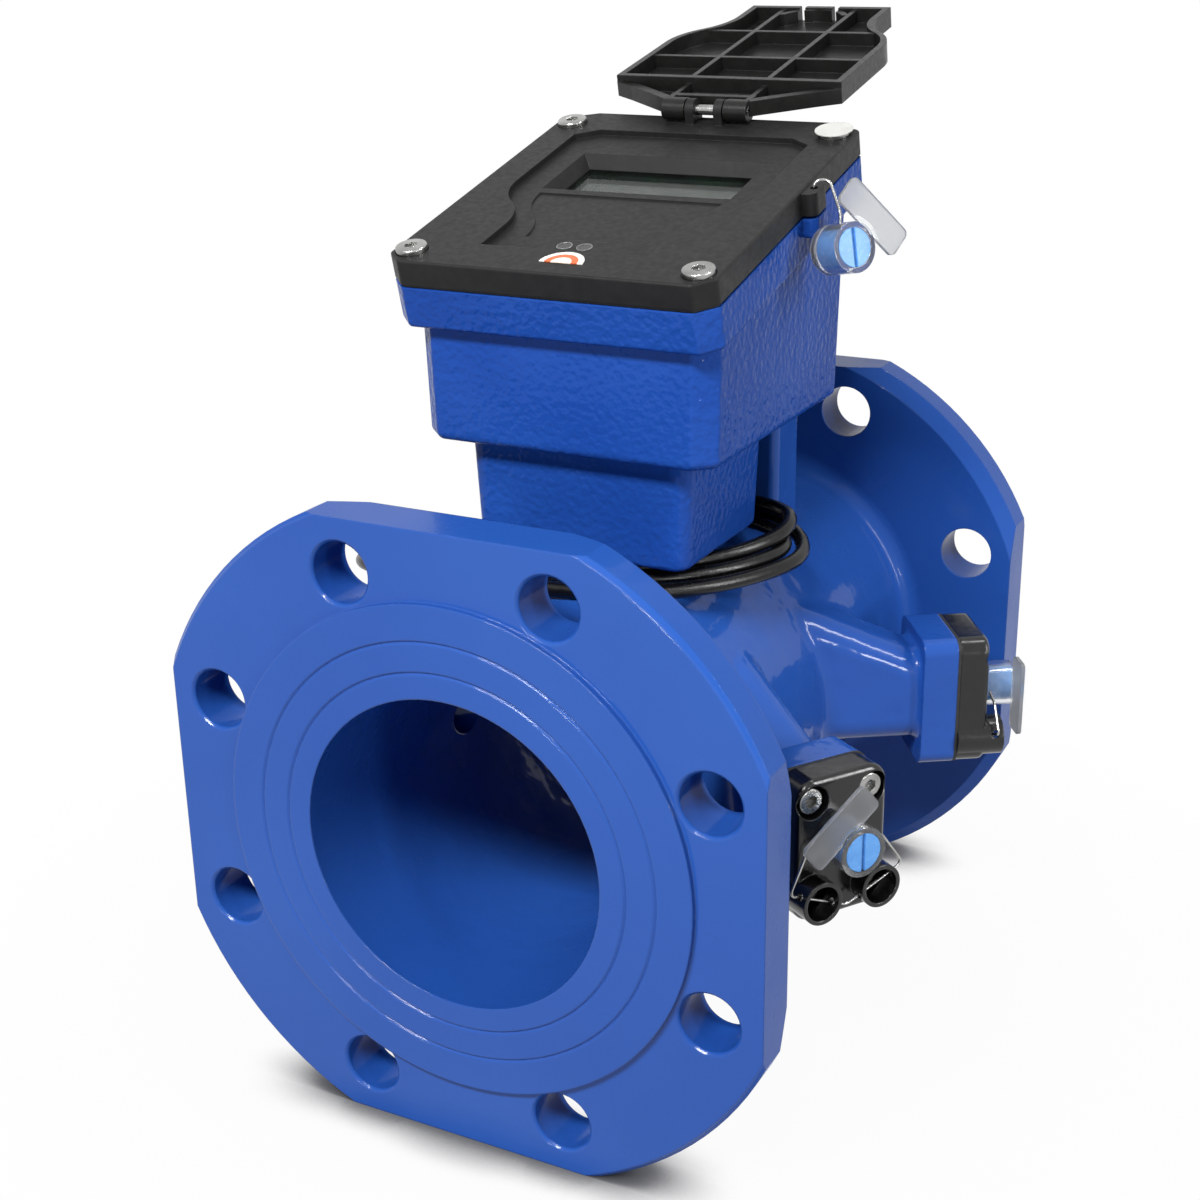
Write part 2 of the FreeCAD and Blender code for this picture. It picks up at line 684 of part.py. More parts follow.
def cap_screws():
    """The four screws of one transducer cover."""
    screws = []
    for y, z, seat in cap_screw_places():
        length = seat - PLATE_FACE + SCREW_GRIP
        screw = socket_screw(SCREW_HEAD_R, SCREW_HEAD_H, SCREW_R, length, SCREW_HEX)
        screws.append(placed(screw, Placement(Vector(seat, y, z), Rotation(Z_AXIS, X_AXIS))))
    return Part.Compound(screws)


def cup_wire_runs():
    """Straight runs of the seal wire across both cups, from cup wall to cup wall."""
    s = CAP_FACE + CUP_OUT / 2
    reach = CUP_R + WIRE_REACH
    low = CAP_SCREW_LOWER_Z - WIRE_RISE
    high = CAP_SCREW_LOWER_Z + WIRE_RISE
    left = (Vector(s, -CAP_SCREW_Y - reach, high), Vector(s, -CAP_SCREW_Y + reach, low))
    right = (Vector(s, CAP_SCREW_Y - reach, low), Vector(s, CAP_SCREW_Y + reach, high))
    return left, right


def twist_seal(flag_angle):
    """Clear seal body and coloured rotor along X, with the flag turned about that axis."""
    body = rod(SEAL_R, Vector(0, 0, 0), X_AXIS, SEAL_L)
    flag_low = FLAG_OFFSET - FLAG_W / 2
    flag = rounded_block(
        (FLAG_PLACE, FLAG_PLACE + FLAG_T),
        (flag_low, flag_low + FLAG_W),
        (-FLAG_L / 2, FLAG_L / 2),
        FLAG_CORNER,
        X_AXIS,
    )
    body = body.fuse(placed(flag, Placement(Vector(0, 0, 0), Rotation(X_AXIS, flag_angle))))
    room = rod(ROTOR_R + ROTOR_GAP, Vector(SEAL_FLOOR, 0, 0), X_AXIS, SEAL_L)
    rotor = rod(ROTOR_R, Vector(SEAL_FLOOR, 0, 0), X_AXIS, SEAL_L - SEAL_FLOOR)
    slot = (-ROTOR_SLOT_W / 2, ROTOR_SLOT_W / 2)
    slot = block((SEAL_L - ROTOR_SLOT_DEPTH, SEAL_L + OVERCUT), slot, (-ROTOR_R, ROTOR_R))
    return body.cut(room), rotor.cut(slot)


def transducer_seal_wire(seal_y, seal_z):
    """Wire from a seal through both cups of its cover and back to the seal."""
    left, right = cup_wire_runs()
    s = left[0].x
    side = SEAL_R + WIRE_SIDE
    points = [
        Vector(s, seal_y - SEAL_R, seal_z),
        Vector(s, seal_y - side, seal_z - WIRE_DIP),
        left[0],
        left[1],
        right[0],
        right[1],
        Vector(s, seal_y + side, seal_z - WIRE_DIP),
        Vector(s, seal_y + SEAL_R, seal_z),
    ]
    return tube(points, SEAL_WIRE_R, WIRE_BEND)[0]


def cover_outline(inset):
    """Eight corners of the cover, moved in by an inset, in the cover's frame."""
    w = COVER_HALF_W - inset
    u = COVER_HALF_L - inset
    f = COVER_FRONT_CHAMFER - inset * CORNER_INSET
    bx = COVER_BACK_CHAMFER_X - inset * CORNER_INSET
    bu = COVER_BACK_CHAMFER_U - inset * CORNER_INSET
    right = [(w - f, -u), (w, f - u), (w, u - bu), (w - bx, u)]
    left = [(-x, y) for x, y in reversed(right)]
    return right + left


def step_outline(half_w, front, back, chamfer):
    """Rectangle with cut corners in plan."""
    right = [(half_w - chamfer, front), (half_w, front + chamfer)]
    right += [(half_w, back - chamfer), (half_w - chamfer, back)]
    return right + [(-x, y) for x, y in reversed(right)]


def upper_step():
    """Housing's middle step, drafted, from its level floor up into the rim."""
    rise = COVER_Z - UPPER_BOTTOM + COVER_HALF_L
    grow = UPPER_DRAFT * rise
    low = step_outline(UPPER_HALF_W, UPPER_FRONT, UPPER_BACK, UPPER_CHAMFER)
    high = step_outline(UPPER_HALF_W + grow, UPPER_FRONT - grow, UPPER_BACK + grow, UPPER_CHAMFER)
    wires = []
    for outline, z in ((low, UPPER_BOTTOM), (high, UPPER_BOTTOM + rise)):
        corners = [Vector(x, y, z) for x, y in outline]
        wires.append(Part.makePolygon(corners + corners[:1]))
    solid = Part.makeLoft(wires, True, True)
    solid = solid.makeFillet(CORNER_ROUND, [e for e in solid.Edges if e.BoundBox.ZLength > EPS])
    solid = solid.makeFillet(UPPER_EDGE, edges_at_height(solid, UPPER_BOTTOM))
    above = placed(prism(cover_outline(-BEYOND), RIM_BOTTOM + OVERCUT, BEYOND), COVER_FRAME)
    return solid.cut(above)


def lower_step(inset, bottom, top):
    """Hanging front compartment, or the hollow inside it, moved in by an inset."""
    wires = []
    for z in (bottom, top):
        grow = LOWER_DRAFT * (z - LOWER_BOTTOM) - inset
        sides = (-LOWER_HALF_W - grow, LOWER_HALF_W + grow)
        depth = (LOWER_FRONT - grow, LOWER_BACK + grow)
        wires.append(rounded_wire(sides, depth, LOWER_CORNER - inset / 2, z))
    return Part.makeLoft(wires, True, True)


def cover_screw_places():
    """Places of the cover's screws in its frame."""
    places = []
    for x in (-COVER_SCREW_X, COVER_SCREW_X):
        places.append((x, COVER_SCREW_FRONT_U))
        places.append((x, COVER_SCREW_BACK_U))
    return places


def eye(high, low, inner):
    """Sealing eye on the right side, with an upright hole for the wire."""
    reach = COVER_HALF_W + EYE_OUT
    lug = block((inner, reach), (EYE_U - EYE_HALF_L, EYE_U + EYE_HALF_L), (low, high))
    outer = [e for e in straight_edges(lug, Z_AXIS) if e.BoundBox.XMin > reach - EPS]
    lug = lug.makeFillet(EYE_ROUND, outer)
    start = Vector(COVER_HALF_W + EYE_HOLE_OUT, EYE_U, low - OVERCUT)
    return lug.cut(rod(EYE_HOLE_R, start, Z_AXIS, high - low + 2 * OVERCUT))


def display_housing():
    """Hollow stepped casting, open at its sloping rim."""
    rim = prism(cover_outline(0), RIM_BOTTOM, RIM_TOP)
    rim = rim.makeFillet(CORNER_ROUND, straight_edges(rim, Z_AXIS))
    rim = rim.makeFillet(RIM_EDGE, edges_at_height(rim, RIM_BOTTOM))
    rim = placed(rim, COVER_FRAME)
    lower = lower_step(0, LOWER_BOTTOM, UPPER_BOTTOM + WALL / 2)
    lower = lower.makeFillet(LOWER_EDGE, edges_at_height(lower, LOWER_BOTTOM))
    lug = placed(eye(RIM_TOP, -EYE_LOW, COVER_HALF_W - EYE_ROOT), COVER_FRAME)
    outer = fused([rim, upper_step(), lower, lug])
    hollow = step_outline(UPPER_HALF_W - WALL, UPPER_FRONT + WALL, UPPER_BACK - WALL, CAVITY_CHAMFER)
    below = UPPER_BOTTOM - OVERCUT
    cuts = [prism(hollow, FLOOR_TOP, COVER_Z + COVER_HALF_L)]
    cuts.append(lower_step(WALL, LOWER_BOTTOM + WALL, FLOOR_TOP + OVERCUT))
    cuts.append(rod(GLAND_THREAD_R + FIT, Vector(GLAND_X, GLAND_Y, below), Z_AXIS, WALL + 2 * OVERCUT))
    cuts += housing_bolt_holes(HOUSING_BOLT_R + FIT, below, FLOOR_TOP + OVERCUT)
    deepest = -COVER_SCREW_SINK - COVER_SCREW_LENGTH - OVERCUT
    for x, u in cover_screw_places():
        hole = rod(COVER_SCREW_R + FIT, Vector(x, u, deepest), Z_AXIS, -deepest)
        cuts.append(placed(hole, COVER_FRAME))
    return outer.cut(cuts)


def pedestal_gasket():
    """Gasket between the pedestal and the housing's floor."""
    sides = (-PEDESTAL_HALF_W, PEDESTAL_HALF_W)
    depth = (PEDESTAL_FRONT, PEDESTAL_BACK)
    sheet = rounded_block(sides, depth, (PEDESTAL_TOP, UPPER_BOTTOM), PEDESTAL_CORNER, Z_AXIS)
    sheet = sheet.cut(block((-BEYOND, BEYOND), (UPPER_BACK - UPPER_EDGE, BEYOND), (0, BEYOND)))
    low = PEDESTAL_TOP - OVERCUT
    return sheet.cut(housing_bolt_holes(HOUSING_BOLT_R + FIT, low, UPPER_BOTTOM + OVERCUT))


def housing_bolts():
    """Bolts from the housing's floor into the pedestal."""
    grip = WALL + THIN_GASKET + HOUSING_BOLT_GRIP
    bolt = socket_screw(HOUSING_BOLT_HEAD_R, HOUSING_BOLT_HEAD_H, HOUSING_BOLT_R, grip, HOUSING_BOLT_HEX)
    bolts = []
    for x in (-HOUSING_BOLT_SPACING, 0, HOUSING_BOLT_SPACING):
        bolts.append(placed(bolt, Placement(Vector(x, HOUSING_BOLT_Y, FLOOR_TOP), Rotation())))
    return Part.Compound(bolts)


def cover_gasket():
    """Sealing frame between the rim and the cover."""
    outer = prism(cover_outline(COVER_GASKET_OUT), RIM_TOP, -COVER_T)
    inner = prism(cover_outline(COVER_GASKET_OUT + COVER_GASKET_W), RIM_TOP - OVERCUT, OVERCUT - COVER_T)
    return placed(outer.cut(inner), COVER_FRAME)


def s_curve(start, end):
    """Two equal arcs that leave and arrive along the second axis."""
    across = end.x - start.x
    along = end.y - start.y
    radius = (across * across + along * along) / (4 * abs(across))
    middle = (start + end) * 0.5
    side = math.copysign(1, across)
    edges = []
    for point, toward in ((start, side), (end, -side)):
        centre = Vector(point.x + toward * radius, point.y, point.z)
        out = (point - centre).normalize() + (middle - centre).normalize()
        edges.append(Part.Arc(point, centre + out.normalize() * radius, middle).toShape())
    return edges


def lid_outline(grow):
    """Half outline of the lid's walled part: wide by the hinge, S-curves to a narrow end."""
    start = Vector(LID_START_HALF_W + grow, LID_START - grow, 0)
    shoulder = Vector(LID_HALF_W + grow, LID_SHOULDER, 0)
    neck = Vector(LID_HALF_W + grow, LID_NECK_START, 0)
    waist = Vector(LID_END_HALF_W + grow, LID_NECK_END, 0)
    end = Vector(LID_END_HALF_W + grow, LID_END + grow, 0)
    edges = [Part.LineSegment(start, shoulder).toShape(), Part.LineSegment(shoulder, neck).toShape()]
    edges += s_curve(neck, waist)
    edges.append(Part.LineSegment(waist, end).toShape())
    return edges, start, end


def lid_prism(grow, low, high):
    """Whole outline of the lid drawn between two heights, grown outwards or inwards."""
    right, start, end = lid_outline(grow)
    left = [e.mirror(Vector(0, 0, 0), X_AXIS) for e in right]
    near = Part.LineSegment(start, Vector(-start.x, start.y, 0)).toShape()
    far = Part.LineSegment(end, Vector(-end.x, end.y, 0)).toShape()
    wire = Part.Wire(Part.__sortEdges__(right + left + [near, far]))
    solid = Part.Face(wire).extrude(Vector(0, 0, high - low))
    return placed(solid, Placement(Vector(0, 0, low), Rotation()))


def lid_pocket():
    """Cutter for the recess that the closed lid lies in, in the cover's frame."""
    closed = Placement(Vector(0, HINGE_U, 0), Rotation(Z_AXIS, 180))
    return placed(lid_prism(POCKET_GAP, -POCKET_DEPTH, OVERCUT), closed)


def label_panel():
    """Cutter for the shallow field below the window, with S-curved sides."""
    high = Vector(LABEL_HALF_HIGH, LABEL_HIGH, 0)
    low = Vector(LABEL_HALF_LOW, LABEL_LOW, 0)
    right = s_curve(high, low)
    left = [e.mirror(Vector(0, 0, 0), X_AXIS) for e in right]
    top = Part.LineSegment(high, Vector(-high.x, high.y, 0)).toShape()
    bottom = Part.LineSegment(low, Vector(-low.x, low.y, 0)).toShape()
    wire = Part.Wire(Part.__sortEdges__(right + left + [top, bottom]))
    solid = Part.Face(wire).extrude(Vector(0, 0, POCKET_DEPTH + LABEL_DEPTH))
    return placed(solid, Placement(Vector(0, 0, -POCKET_DEPTH - LABEL_DEPTH), Rotation()))


def window_wire(grow, height):
    """Window rectangle at one height of the bezel."""
    x = WINDOW_HALF_W + grow
    corners = [
        Vector(-x, WINDOW_LOW - grow, height),
        Vector(x, WINDOW_LOW - grow, height),
        Vector(x, WINDOW_HIGH + grow, height),
        Vector(-x, WINDOW_HIGH + grow, height),
    ]
    return Part.makePolygon(corners + corners[:1])


def lens_block(gap):
    """The window lens, or with a gap below zero the rebate that it lies in."""
    x = WINDOW_HALF_W - BEZEL_SLOPE + LENS_LAP - gap
    u = (WINDOW_LOW + BEZEL_SLOPE - LENS_LAP + gap, WINDOW_HIGH - BEZEL_SLOPE + LENS_LAP - gap)
    return block((-x, x), u, (-COVER_T, LENS_TOP))


def hinge_knuckle(inner, outer, base):
    """Round ear about the hinge axis on a foot that reaches down to a base, in the hinge's frame."""
    barrel = rod(KNUCKLE_R, Vector(inner, 0, 0), X_AXIS, outer - inner)
    foot = block((inner, outer), (-KNUCKLE_R, KNUCKLE_R), (base, 0))
    return barrel.fuse(foot)


def front_cover():
    """Moulded cover plate with pocket, window, hinge ears, sealing eye and board bosses."""
    plate = prism(cover_outline(0), -COVER_T, 0)
    plate = plate.makeFillet(CORNER_ROUND, straight_edges(plate, Z_AXIS))
    plate = plate.makeFillet(COVER_EDGE, edges_at_height(plate, 0))
    adds = [eye(-COVER_EDGE, -COVER_T, COVER_HALF_W - EYE_ROOT)]
    for side in (-1, 1):
        ear = hinge_knuckle(EAR_IN, EAR_OUT, -HINGE_N - OVERCUT)
        start = Placement(Vector(0, HINGE_U, HINGE_N), Rotation(Z_AXIS, 0 if side > 0 else 180))
        adds.append(placed(ear, start))
        for u in (BOSS_LOW, BOSS_HIGH):
            adds.append(rod(BOSS_R, Vector(side * BOSS_X, u, BOARD_TOP), Z_AXIS, BOARD_DEPTH + OVERCUT))
    cuts = [lid_pocket(), label_panel(), lens_block(-LCD_GAP)]
    bezel = [window_wire(0, -POCKET_DEPTH), window_wire(-BEZEL_SLOPE, LENS_TOP)]
    cuts.append(Part.makeLoft(bezel, True, True))
    cuts.append(rod(PIN_R + PIN_CLEARANCE / 2, Vector(-LUG_OUT, HINGE_U, HINGE_N), X_AXIS, 2 * LUG_OUT))
    for side in (-1, 1):
        seat = Vector(side * IR_X, IR_U, -POCKET_DEPTH - IR_T)
        cuts.append(rod(IR_R + FIT / 2, seat, Z_AXIS, IR_T + OVERCUT))
        for u in (BOSS_LOW, BOSS_HIGH):
            start = Vector(side * BOSS_X, u, BOARD_TOP - OVERCUT)
            depth = OVERCUT + BOARD_SCREW_GRIP + BOARD_SCREW_ROOM
            cuts.append(rod(BOARD_SCREW_R + FIT, start, Z_AXIS, depth))
    for x, u in cover_screw_places():
        below = Vector(x, u, -COVER_T - OVERCUT)
        seat = Vector(x, u, -COVER_SCREW_SINK)
        cuts.append(rod(COVER_SCREW_R + FIT, below, Z_AXIS, COVER_T + 2 * OVERCUT))
        cuts.append(rod(COVER_SCREW_HEAD_R + 2 * FIT, seat, Z_AXIS, COVER_SCREW_SINK + OVERCUT))
    return placed(fused([plate] + adds).cut(cuts), COVER_FRAME)


def cover_screws():
    """Low socket screws at the cover's corners."""
    head = (COVER_SCREW_HEAD_R, COVER_SCREW_HEAD_H)
    screw = socket_screw(*head, COVER_SCREW_R, COVER_SCREW_LENGTH, COVER_SCREW_HEX)
    screws = []
    for x, u in cover_screw_places():
        screws.append(placed(screw, Placement(Vector(x, u, -COVER_SCREW_SINK), Rotation())))
    return placed(Part.Compound(screws), COVER_FRAME)


def lcd_module():
    """Display behind the lens, standing on the circuit board."""
    x = WINDOW_HALF_W
    u = (WINDOW_LOW, WINDOW_HIGH)
    return placed(block((-x, x), u, (BOARD_TOP, -COVER_T - LCD_GAP)), COVER_FRAME)


def circuit_board():
    """Board under the cover's bosses."""
    board = block((-BOARD_HALF_W, BOARD_HALF_W), (BOARD_LOW, BOARD_HIGH), (BOARD_TOP - BOARD_T, BOARD_TOP))
    holes = []
    for x in (-BOSS_X, BOSS_X):
        for u in (BOSS_LOW, BOSS_HIGH):
            start = Vector(x, u, BOARD_TOP - BOARD_T - OVERCUT)
            holes.append(rod(BOARD_SCREW_R + FIT, start, Z_AXIS, BOARD_T + 2 * OVERCUT))
    return placed(board.cut(holes), COVER_FRAME)


def board_screws():
    """Screws that hold the board to the bosses, driven from behind."""
    grip = BOARD_T + BOARD_SCREW_GRIP
    screw = socket_screw(BOARD_SCREW_HEAD_R, BOARD_SCREW_HEAD_H, BOARD_SCREW_R, grip, BOARD_SCREW_HEX)
    turned = Rotation(X_AXIS, 180)
    screws = []
    for x in (-BOSS_X, BOSS_X):
        for u in (BOSS_LOW, BOSS_HIGH):
            screws.append(placed(screw, Placement(Vector(x, u, BOARD_TOP - BOARD_T), turned)))
    return placed(Part.Compound(screws), COVER_FRAME)


def battery_cell():
    """Lithium cell lying across the lower compartment."""
    z = LOWER_BOTTOM + WALL + CELL_LIFT + CELL_R
    can = rod(CELL_R, Vector(-CELL_L / 2, CELL_Y, z), X_AXIS, CELL_L - CELL_TIP)
    return can.fuse(rod(CELL_TIP_R, Vector(CELL_L / 2 - CELL_TIP, CELL_Y, z), X_AXIS, CELL_TIP))


def battery_cradle():
    """Saddle under the cell."""
    floor = LOWER_BOTTOM + WALL
    depth = (CELL_Y - CRADLE_HALF_W, CELL_Y + CRADLE_HALF_W)
    saddle = block((-CRADLE_HALF_L, CRADLE_HALF_L), depth, (floor, floor + CRADLE_H))
    axis = Vector(-CELL_L, CELL_Y, floor + CELL_LIFT + CELL_R)
    return saddle.cut(rod(CELL_R + FIT, axis, X_AXIS, 2 * CELL_L))


def ir_windows():
    """Two round infrared windows in the pocket's floor."""
    low = -POCKET_DEPTH - IR_T
    discs = [rod(IR_R, Vector(side * IR_X, IR_U, low), Z_AXIS, IR_T) for side in (-1, 1)]
    return placed(Part.Compound(discs), COVER_FRAME)


def white_sticker():
    """Round sticker over the screw at the back right."""
    top = COVER_SCREW_HEAD_H - COVER_SCREW_SINK
    disc = rod(WHITE_STICKER_R, Vector(COVER_SCREW_X, COVER_SCREW_BACK_U, top), Z_AXIS, STICKER_T)
    return placed(disc, COVER_FRAME)


def ring_sticker():
    """Half round sticker between the pocket and the cover's front edge."""
    disc = rod(RING_STICKER_R, Vector(RING_STICKER_X, RING_STICKER_U, 0), Z_AXIS, STICKER_T)
    front = block((-BEYOND, BEYOND), (-BEYOND, RING_STICKER_U), (-BEYOND, BEYOND))
    return placed(disc.cut(front), COVER_FRAME)


def hinge_pin():
    """Steel pin of the lid's hinge."""
    return placed(rod(PIN_R, Vector(-LUG_OUT, 0, 0), X_AXIS, 2 * LUG_OUT), HINGE_FRAME)


def lid_ribs():
    """Ribs of the lid's inside and the curved wall of its finger scoop."""
    top = LID_OUTER + LID_SKIN + LID_RIB_H
    low = LID_OUTER + LID_SKIN / 2
    half = LID_RIB_W / 2
    ribs = []
    for k in range(LID_CROSS_RIBS):
        s = LID_START + LID_FIRST_RIB + k * LID_RIB_PITCH
        ribs.append(block((-LID_HALF_W, LID_HALF_W), (s - half, s + half), (low, top)))
    for side in (-1, 1):
        x = side * LID_RIB_X
        ribs.append(block((x - half, x + half), (LID_WALL_S, LID_END), (low, top)))
    radius = (LID_RIB_X ** 2 + LID_SCOOP_DEPTH ** 2) / (2 * LID_SCOOP_DEPTH)
    axis = Vector(0, LID_END - radius, low)
    scoop = rod(radius, axis, Z_AXIS, top - low)
    scoop = scoop.cut(rod(radius - LID_WALL, axis, Z_AXIS, top - low))
    bulge = block((-LID_RIB_X, LID_RIB_X), (LID_SCOOP_START, LID_END), (low, top))
    return ribs + [scoop.common(bulge)]


def lid_hip_outline(inset):
    """Low end of the lid: from its shoulders it narrows to the hinge."""
    right = [(LUG_OUT - inset, inset), (LID_START_HALF_W - inset, LID_START + inset)]
    right += [(LID_HALF_W - inset, LID_SHOULDER), (LID_HALF_W - inset, LID_WALL_S)]
    return right + [(-x, s) for x, s in reversed(right)]


def lid_hip():
    """Low walled end of the lid with its two knuckles and short ribs."""
    solid = prism(lid_hip_outline(0), LID_OUTER, LID_LOW_WALL)
    solid = solid.cut(prism(lid_hip_outline(LID_WALL), LID_OUTER + LID_SKIN, LID_LOW_WALL + OVERCUT))
    adds = []
    for side in (-1, 1):
        x = sorted((side * LUG_IN, side * LUG_OUT))
        adds.append(rod(KNUCKLE_R, Vector(x[0], 0, 0), X_AXIS, x[1] - x[0]))
        rib = (side * LID_RIB_X - LID_RIB_W / 2, side * LID_RIB_X + LID_RIB_W / 2)
        adds.append(block(rib, (0, LID_WALL_S), (LID_OUTER, LID_LOW_WALL)))
    room = KNUCKLE_R + LID_ROOM
    wall = block((-LUG_OUT, LUG_OUT), (room, room + LID_WALL), (LID_OUTER, LID_LOW_WALL))
    solid = fused([solid, wall] + adds)
    return solid.cut(block((-LUG_IN, LUG_IN), (-BEYOND, room), (-BEYOND, BEYOND)))


def lid_slits():
    """Cutters for the two slits beside the lid's springy tab."""
    slits = []
    for side in (-1, 1):
        x = side * LID_TAB_HALF_W
        slit = (x - LID_SLIT_W / 2, x + LID_SLIT_W / 2)
        wall = (LID_END - 2 * LID_WALL, LID_END + OVERCUT)
        slits.append(block(slit, wall, (LID_OUTER + LID_SKIN, LID_RIM + OVERCUT)))
    return slits


def flip_lid():
    """Walled lid, open and turned over behind the housing, with its ribbed inside up."""
    shell = lid_prism(0, LID_OUTER, LID_RIM)
    hollow = lid_prism(-LID_WALL, LID_OUTER + LID_SKIN, LID_RIM + OVERCUT)
    near = (LID_WALL_S - LID_WALL, LID_WALL_S)
    cross = block((-LID_HALF_W, LID_HALF_W), near, (LID_OUTER, LID_RIM)).common(shell)
    deep = shell.cut([hollow, block((-BEYOND, BEYOND), (-BEYOND, near[0]), (-BEYOND, BEYOND))] + lid_slits())
    ribs = [rib.common(lid_prism(-LID_WALL / 2, LID_OUTER, LID_RIM)).cut(lid_slits()) for rib in lid_ribs()]
    solid = fused([fused([deep, cross] + ribs), lid_hip()])
    end = LUG_OUT + FIT
    pin = rod(PIN_R + PIN_CLEARANCE, Vector(-end, 0, 0), X_AXIS, 2 * end)
    return placed(solid.cut(pin), LID_FRAME)


def cable_gland():
    """Gland under the housing's floor behind the lower compartment."""
    top = Vector(GLAND_X, GLAND_Y, UPPER_BOTTOM)
    body = hex_prism(GLAND_HEX_R, top - Z_AXIS * GLAND_HEX_H, Z_AXIS, GLAND_HEX_H)
    thread = rod(GLAND_THREAD_R, top - Z_AXIS, Z_AXIS, 1 + WALL + GLAND_NUT_H + OVERCUT)
    dome_low = top - Z_AXIS * (GLAND_HEX_H + GLAND_DOME_H)
    dome = Part.makeCone(GLAND_MOUTH_R, GLAND_DOME_R, GLAND_DOME_H, dome_low, Z_AXIS)
    return fused([body, thread, dome])


def gland_nut():
    """Locknut of the gland inside the housing."""
    start = Vector(GLAND_X, GLAND_Y, FLOOR_TOP)
    nut = hex_prism(GLAND_HEX_R, start, Z_AXIS, GLAND_NUT_H)
    return nut.cut(rod(GLAND_THREAD_R + FIT, start - Z_AXIS, Z_AXIS, GLAND_NUT_H + 2 * OVERCUT))


def cable_lead_points():
    """Route of the cable from the gland's mouth down to the back of the coil."""
    mouth = Vector(GLAND_X, GLAND_Y, UPPER_BOTTOM - GLAND_HEX_H - GLAND_DOME_H)
    return [mouth + Vector(*step) for step in LEAD_ROUTE]


def cable_lead():
    """Cable between the gland and the coil."""
    solid, radii, length = tube(cable_lead_points(), CABLE_R, LEAD_BEND)
    print("cable lead radii", [round(r, 1) for r in radii], "length", round(length, 1))
    print("volume ratio", round(solid.Volume / (math.pi * CABLE_R ** 2 * length), 3))
    return solid


def coil_disc(inset):
    """Oval slab of the coil's outline, moved in by an inset."""
    oval = Part.Ellipse(Vector(0, 0, 0), COIL_MAJOR_R - inset, COIL_MINOR_R - inset)
    slab = Part.Face(Part.Wire(oval.toShape())).extrude(Vector(0, 0, COIL_HIGH - COIL_LOW))
    return placed(slab, Placement(Vector(COIL_X, COIL_Y, COIL_LOW), Rotation(Z_AXIS, COIL_TURN)))


def cable_coil():
    """Outer shape of the coil: an oval ring that lies on the barrel and reaches under the compartment."""
    ring = coil_disc(0).cut(coil_disc(COIL_W))
    barrel = rod(BARREL_R + COIL_GAP, Vector(0, -HALF_LENGTH, 0), Y_AXIS, FACE_TO_FACE)
    compartment = lower_step(-COIL_GAP, LOWER_BOTTOM - COIL_GAP, UPPER_BOTTOM)
    post_side = PEDESTAL_HALF_W + COIL_GAP
    post_front = PEDESTAL_FRONT - COIL_GAP
    post = block((-post_side, post_side), (post_front, BEYOND), (0, BEYOND))
    foot_side = post_side + PEDESTAL_FOOT
    foot_front = post_front - PEDESTAL_FOOT
    foot = block((-foot_side, foot_side), (foot_front, BEYOND), (0, BARREL_R + PEDESTAL_FOOT))
    return ring.cut([barrel, compartment, post, foot])


def cover_seal_wire(seal_frame):
    """Wire from the seal body up through both sealing eyes."""
    x = COVER_HALF_W + EYE_HOLE_OUT
    over = COVER_FRAME.multVec(Vector(x, EYE_U, WIRE_OVER))
    under = COVER_FRAME.multVec(Vector(x, EYE_U, -EYE_LOW))
    entry = seal_frame.multVec(Vector(SEAL_L / 2, 0, SEAL_R))
    across = COVER_FRAME.multVec(Vector(x + WIRE_ACROSS_X, EYE_U + WIRE_ACROSS_U, WIRE_ACROSS_N))
    above = entry + Z_AXIS * WIRE_ENTRY
    return tube([under, over, across, above, entry], SEAL_WIRE_R, LEAD_BEND)[0]


def export_nodes(nodes):
    """Writes one STEP file for each node."""
    os.makedirs("parts", exist_ok=True)
    for name, shape in nodes.items():
        if not shape.isValid():
            print("not valid:", name)
        shape.exportStep("parts/" + name + ".step")


def arm_nodes():
    """The pieces that each arm carries."""
    nodes = {}
    makers = {
        "transducer_": transducer,
        "transducer_ring_": transducer_ring,
        "transducer_gasket_": transducer_gasket,
        "transducer_cover_": transducer_cover,
        "transducer_screws_": cap_screws,
    }
    for place, angle in ARMS.items():
        for name, maker in makers.items():
            nodes[name + place] = placed(maker(), arm_frame(angle))
    return nodes


def seal_nodes():
    """Seal bodies, rotors and wires at the two right arms and at the cover."""
    nodes = {}
    base = CAP_FACE + SEAL_STAND_OFF
    arm_seals = {
        "front_right": (Vector(base, FRONT_SEAL_Y, FRONT_SEAL_Z), FRONT_FLAG_ANGLE),
        "back_right": (Vector(base, 0, BACK_SEAL_Z), BACK_FLAG_ANGLE),
    }
    for place, (start, flag_angle) in arm_seals.items():
        frame = arm_frame(ARMS[place])
        body, rotor = twist_seal(flag_angle)
        seat = frame.multiply(Placement(start, Rotation()))
        nodes["seal_body_" + place] = placed(body, seat)
        nodes["seal_rotor_" + place] = placed(rotor, seat)
        nodes["seal_wire_" + place] = placed(transducer_seal_wire(start.y, start.z), frame)
    turned = Rotation(Z_AXIS, COVER_SEAL_YAW).multiply(Rotation(Y_AXIS, COVER_SEAL_TILT))
    base = Vector(COVER_HALF_W + COVER_SEAL_OUT, COVER_Y + COVER_SEAL_BACK, COVER_Z - COVER_SEAL_DROP)
    cover_seal = Placement(base, turned)
    body, rotor = twist_seal(COVER_FLAG_ANGLE)
    nodes["seal_body_cover"] = placed(body, cover_seal)
    nodes["seal_rotor_cover"] = placed(rotor, cover_seal)
    nodes["seal_wire_cover"] = cover_seal_wire(cover_seal)
    return nodes


